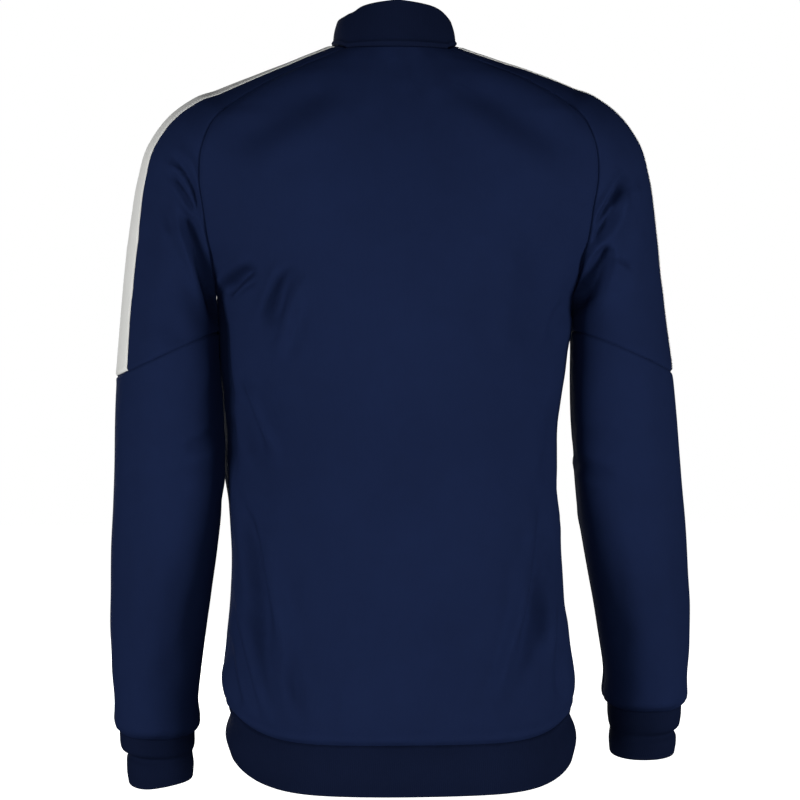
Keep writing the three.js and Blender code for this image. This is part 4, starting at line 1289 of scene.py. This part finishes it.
def front_line(x, count=240):
    """The outer surface down the centre front at a distance beside it: the collar, the yoke and the body,
    then the hem band."""
    def at(z):
        """The body's points at the heights z and at the distance x beside the centre."""
        z = np.asarray(z, float)
        aside = np.arcsin(abs(x) / body_section(z, -1)[1])
        points = body_point(math.pi - aside, z, -1)
        points[..., 0] = x
        return points

    neck = at(NECK_FRONT_Z)
    collar_part = collar_point(neck[None], np.linspace(0, 1, 12)[:-1, None])
    body = at(np.linspace(NECK_FRONT_Z, HEM_FRONT_Z, count))
    part = np.linspace(0, 1, 16)[1:, None]
    band = body[-1] + outward_of(body[-1]) * HEM_BAND_SWELL(part)[0]
    band[:, 2] -= HEM_BAND_HEIGHT * part[:, 0]
    line = np.concatenate([collar_part, body, band])
    line[:, 0] = x
    return line


def cut_above(line, top_z):
    """The part of a falling line below a height."""
    below = line[line[:, 2] < top_z]
    start = [np.interp(-top_z, -line[:, 2], line[:, axis]) for axis in range(3)]
    return np.concatenate([[start], below])


def tape_grid(side):
    """A tape: lines down the front at distances beside its centre, then moved in, well behind the cloth."""
    edges = np.linspace(TAPE_OUTER, TAPE_INNER, TAPE_COLUMNS)
    lines = [cut_above(front_line(x * SIGN[side]), TAPE_TOP_Z) for x in edges]
    count = min(len(line) for line in lines)
    grid = np.stack([line[:count] for line in lines], 1)
    grid = grid if side == "left" else grid[:, ::-1]
    placed = hang(grid)
    return placed - TAPE_DEPTH * grid_normals(placed)


for side in SIGN:
    tape = tape_grid(side)
    cloth(f"zip_tape_{side}", tape, np.zeros(tape.shape[:2]), TAPE_WALL, TAPE, "zip_tape", "", ALL_SIDES)


def prism_shape(rings):
    """A closed shape through rings of equal size, with its two ends closed by quads."""
    rings = np.array(rings, float)
    count, size = rings.shape[:2]
    index = np.arange(count * size).reshape(count, size)
    index = np.concatenate([index, index[:, :1]], 1)
    mesh = Grid()
    faces, _ = mesh.quads(index, np.zeros((*index.shape, 2)))
    caps = []
    for ring, turn in ((index[0, :-1], 1), (index[-1, :-1], -1)):
        half = size // 2
        for i in range(half - 1):
            cap = [ring[i], ring[size - 1 - i], ring[size - 2 - i], ring[i + 1]]
            caps.append(cap[::turn])
    return rings.reshape(-1, 3), np.concatenate([faces, np.array(caps)])


def rounded_box_rings(half_x, half_y, half_z, corner):
    """Eight sided rings of a box with all its edges cut off, from the bottom up."""
    rings = []
    for z, inset in ((-half_z, corner), (-half_z + corner, 0), (half_z - corner, 0), (half_z, corner)):
        a, b = half_x - inset, half_y - inset
        c = corner
        rings.append([
            [a - c, -b, z], [a, -b + c, z], [a, b - c, z], [a - c, b, z],
            [-a + c, b, z], [-a, b - c, z], [-a, -b + c, z], [-a + c, -b, z],
        ])
    return rings


def scatter(name, shape, places, frames, material, node=None):
    """Copies of a small closed shape at many places. frames holds three directions for each copy, for the
    shape's x, y and z, and all the copies are one mesh, which may stand for a node."""
    points, faces = shape
    copies = places[:, None] + np.einsum("pk,nkd->npd", points, frames)
    numbers = faces[None] + (np.arange(len(places)) * len(points))[:, None, None]
    spots = (points[:, [0, 2]] / METRE)[faces]
    mesh = Grid()
    everywhere = np.broadcast_to(spots, (len(places), *spots.shape)).reshape(-1, 4, 2)
    mesh.add(copies.reshape(-1, 3), numbers.reshape(-1, 4), everywhere)
    piece = make_object(name, mesh)
    place_piece(piece, material)
    if node:
        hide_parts(node)


def walk(line, pitch, start=0.0):
    """Places at equal distances along a line and the direction of the line at each."""
    along = np.concatenate([[0], np.cumsum(np.linalg.norm(np.diff(line, axis=0), axis=1))])
    spots = np.arange(start, along[-1] - pitch / 2, pitch)
    slope = np.gradient(line, along, axis=0)
    places = np.stack([np.interp(spots, along, column) for column in line.T], -1)
    return places, unit(np.stack([np.interp(spots, along, column) for column in slope.T], -1))


TOOTH_PITCH = 3.1
TOOTH_HALF = (1.65, 1.25, 0.62)
TOOTH_DEPTH = 1.7
TOOTH_ASIDE = 1.25


def chain_of_teeth():
    """Moulded teeth: blocks with cut edges that alternate between the two sides and reach a little past
    the middle, square to the chain's line."""
    line = cut_above(hang(front_line(0)[None])[0], CHAIN_TOP_Z)
    shape = prism_shape(rounded_box_rings(*TOOTH_HALF, 0.3))
    places, frames = [], []
    for sign, start in ((1, TOOTH_PITCH / 2), (-1, TOOTH_PITCH)):
        spots, down = walk(line, TOOTH_PITCH, start)
        side = np.broadcast_to([1.0, 0, 0], down.shape)
        side = unit(side - down * (side * down).sum(-1, keepdims=True))
        out = np.cross(-down, side)
        places.append(spots + side * sign * TOOTH_ASIDE + out * TOOTH_DEPTH)
        frames.append(np.stack([side, out, -down], 1))
    scatter(
        "zip_teeth", shape, np.concatenate(places), np.concatenate(frames), TEETH, "zip_chain"
    )


chain_of_teeth()


def bevelled_copy(name, node, width, body):
    """The node's own shape with its edges rounded: doubles merged, flat faces joined, then a bevel."""
    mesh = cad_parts[node].data.copy()
    mesh.materials.clear()
    piece = bpy.data.objects.new(name, mesh)
    bpy.context.scene.collection.objects.link(piece)
    weld = piece.modifiers.new("weld", "WELD")
    weld.merge_threshold = 1e-6
    flat = piece.modifiers.new("flat", "DECIMATE")
    flat.decimate_type = "DISSOLVE"
    flat.angle_limit = math.radians(2)
    bevel = piece.modifiers.new("bevel", "BEVEL")
    bevel.width = width / METRE
    bevel.segments = 2
    bevel.limit_method = "ANGLE"
    bevel.angle_limit = math.radians(35)
    place_piece(piece, LACQUER, body)
    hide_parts(node)


bevelled_copy("zip_slider_rounded", "zip_slider", 0.22, JACKET)
bevelled_copy("zip_pull_rounded", "zip_pull", 0.25, "zip_pull")

# Rows of stitches along both edges of the shoulder bands
STITCH_PITCH = 3.0
STITCH_HALF = (0.2, 0.16, 1.05)
STITCH_OUT = 0.05


def stitches(name, grids, columns, material):
    """Short threads along one column of each grid, half sunk in the cloth."""
    shape = prism_shape(rounded_box_rings(*STITCH_HALF, 0.12))
    places, frames = [], []
    for grid, column in zip(grids, columns):
        line = grid[2:-2, column]
        normals = grid_normals(grid)[2:-2, column]
        spots, down = walk(line, STITCH_PITCH)
        along = lengths(line[:, None], 0)[:, 0]
        at = np.arange(0, along[-1] - STITCH_PITCH / 2, STITCH_PITCH)
        out = unit(np.stack([np.interp(at, along, part) for part in normals.T], -1))
        out = unit(out - down * (out * down).sum(-1, keepdims=True))
        side = np.cross(out, -down)
        places.append(spots + out * STITCH_OUT)
        frames.append(np.stack([side, out, -down], 1))
    scatter(name, shape, np.concatenate(places), np.concatenate(frames), material)


bands = [OUTER[f"shoulder_band_{side}"] for side in SIGN]
stitches("band_stitches", bands * 2, [1, 1, -2, -2], WHITE_THREAD)

# The camera looks level at the back, 4 degrees from square to it
AZIMUTH = math.radians(176)
DISTANCE = 2.6
VIEW_WIDTH = 0.756
VIEW_ASIDE = 0.00567
VIEW_Z = -0.3326
SENSOR = 36
toward = np.array([math.sin(AZIMUTH), -math.cos(AZIMUTH), 0])
right = np.array([math.cos(AZIMUTH), math.sin(AZIMUTH), 0])
camera_data = bpy.data.cameras.new("camera")
camera_data.sensor_width = SENSOR
camera_data.lens = SENSOR * DISTANCE / VIEW_WIDTH
camera = bpy.data.objects.new("camera", camera_data)
camera.location = toward * DISTANCE + right * VIEW_ASIDE + np.array([0, 0, VIEW_Z])
camera.rotation_euler = (math.pi / 2, 0, AZIMUTH)
bpy.context.scene.collection.objects.link(camera)
bpy.context.scene.camera = camera

# Four soft lights that face the middle of the jacket, at this height in metres
MIDDLE_Z = -0.33


def soft_light(name, place, size, power):
    """A large square light that faces the middle of the jacket. Its place and size are in metres, and its
    power is in watts."""
    light = bpy.data.lights.new(name, "AREA")
    light.shape = "SQUARE"
    light.size = size
    light.energy = power
    lamp = bpy.data.objects.new(name, light)
    lamp.location = place
    aim = np.array([0, 0, MIDDLE_Z]) - np.array(place)
    level = math.hypot(aim[0], aim[1])
    lamp.rotation_euler = (math.pi / 2 + math.atan2(aim[2], level), 0, math.atan2(-aim[0], aim[1]))
    bpy.context.scene.collection.objects.link(lamp)


soft_light("left light", (2.6, 1.8, -0.6), size=1.1, power=64)
soft_light("right light", (-2.6, 1.8, -0.6), size=1.1, power=62)
soft_light("low light", (0.0, 3.2, -1.1), size=1.1, power=32)
soft_light("front light", (0.8, -3.2, 0.4), size=2.0, power=55)

# A pale floor well below the jacket, and surroundings that are white to the camera and give little light
FLOOR_HALF = 9.0
FLOOR_Z = -0.86
SURROUNDING_LIGHT = 0.02
floor_mesh = bpy.data.meshes.new("floor")
corners = [(x * FLOOR_HALF, y * FLOOR_HALF, FLOOR_Z) for x, y in ((-1, -1), (1, -1), (1, 1), (-1, 1))]
floor_mesh.from_pydata(corners, [], [(0, 1, 2, 3)])
floor = bpy.data.objects.new("floor", floor_mesh)
bpy.context.scene.collection.objects.link(floor)
paper = Finish("white paper", Roughness=0.9, Emission_Strength=1.0)
paper.set("Base Color", linear(244, 244, 243))
paper.set("Emission Color", linear(255, 255, 255))
floor_mesh.materials.append(paper.material)
floor.visible_diffuse = False
floor.visible_glossy = False
floor.visible_shadow = False

world = bpy.data.worlds.new("studio")
world.use_nodes = True
bpy.context.scene.world = world
nodes, links = world.node_tree.nodes, world.node_tree.links
nodes.clear()
seen = nodes.new("ShaderNodeBackground")
seen.inputs[0].default_value = (1, 1, 1, 1)
lighting = nodes.new("ShaderNodeBackground")
lighting.inputs[0].default_value = (1, 1, 1, 1)
lighting.inputs[1].default_value = SURROUNDING_LIGHT
path = nodes.new("ShaderNodeLightPath")
choice = nodes.new("ShaderNodeMixShader")
world_output = nodes.new("ShaderNodeOutputWorld")
links.new(path.outputs["Is Camera Ray"], choice.inputs[0])
links.new(lighting.outputs[0], choice.inputs[1])
links.new(seen.outputs[0], choice.inputs[2])
links.new(choice.outputs[0], world_output.inputs["Surface"])
bpy.context.scene.view_settings.view_transform = "Standard"
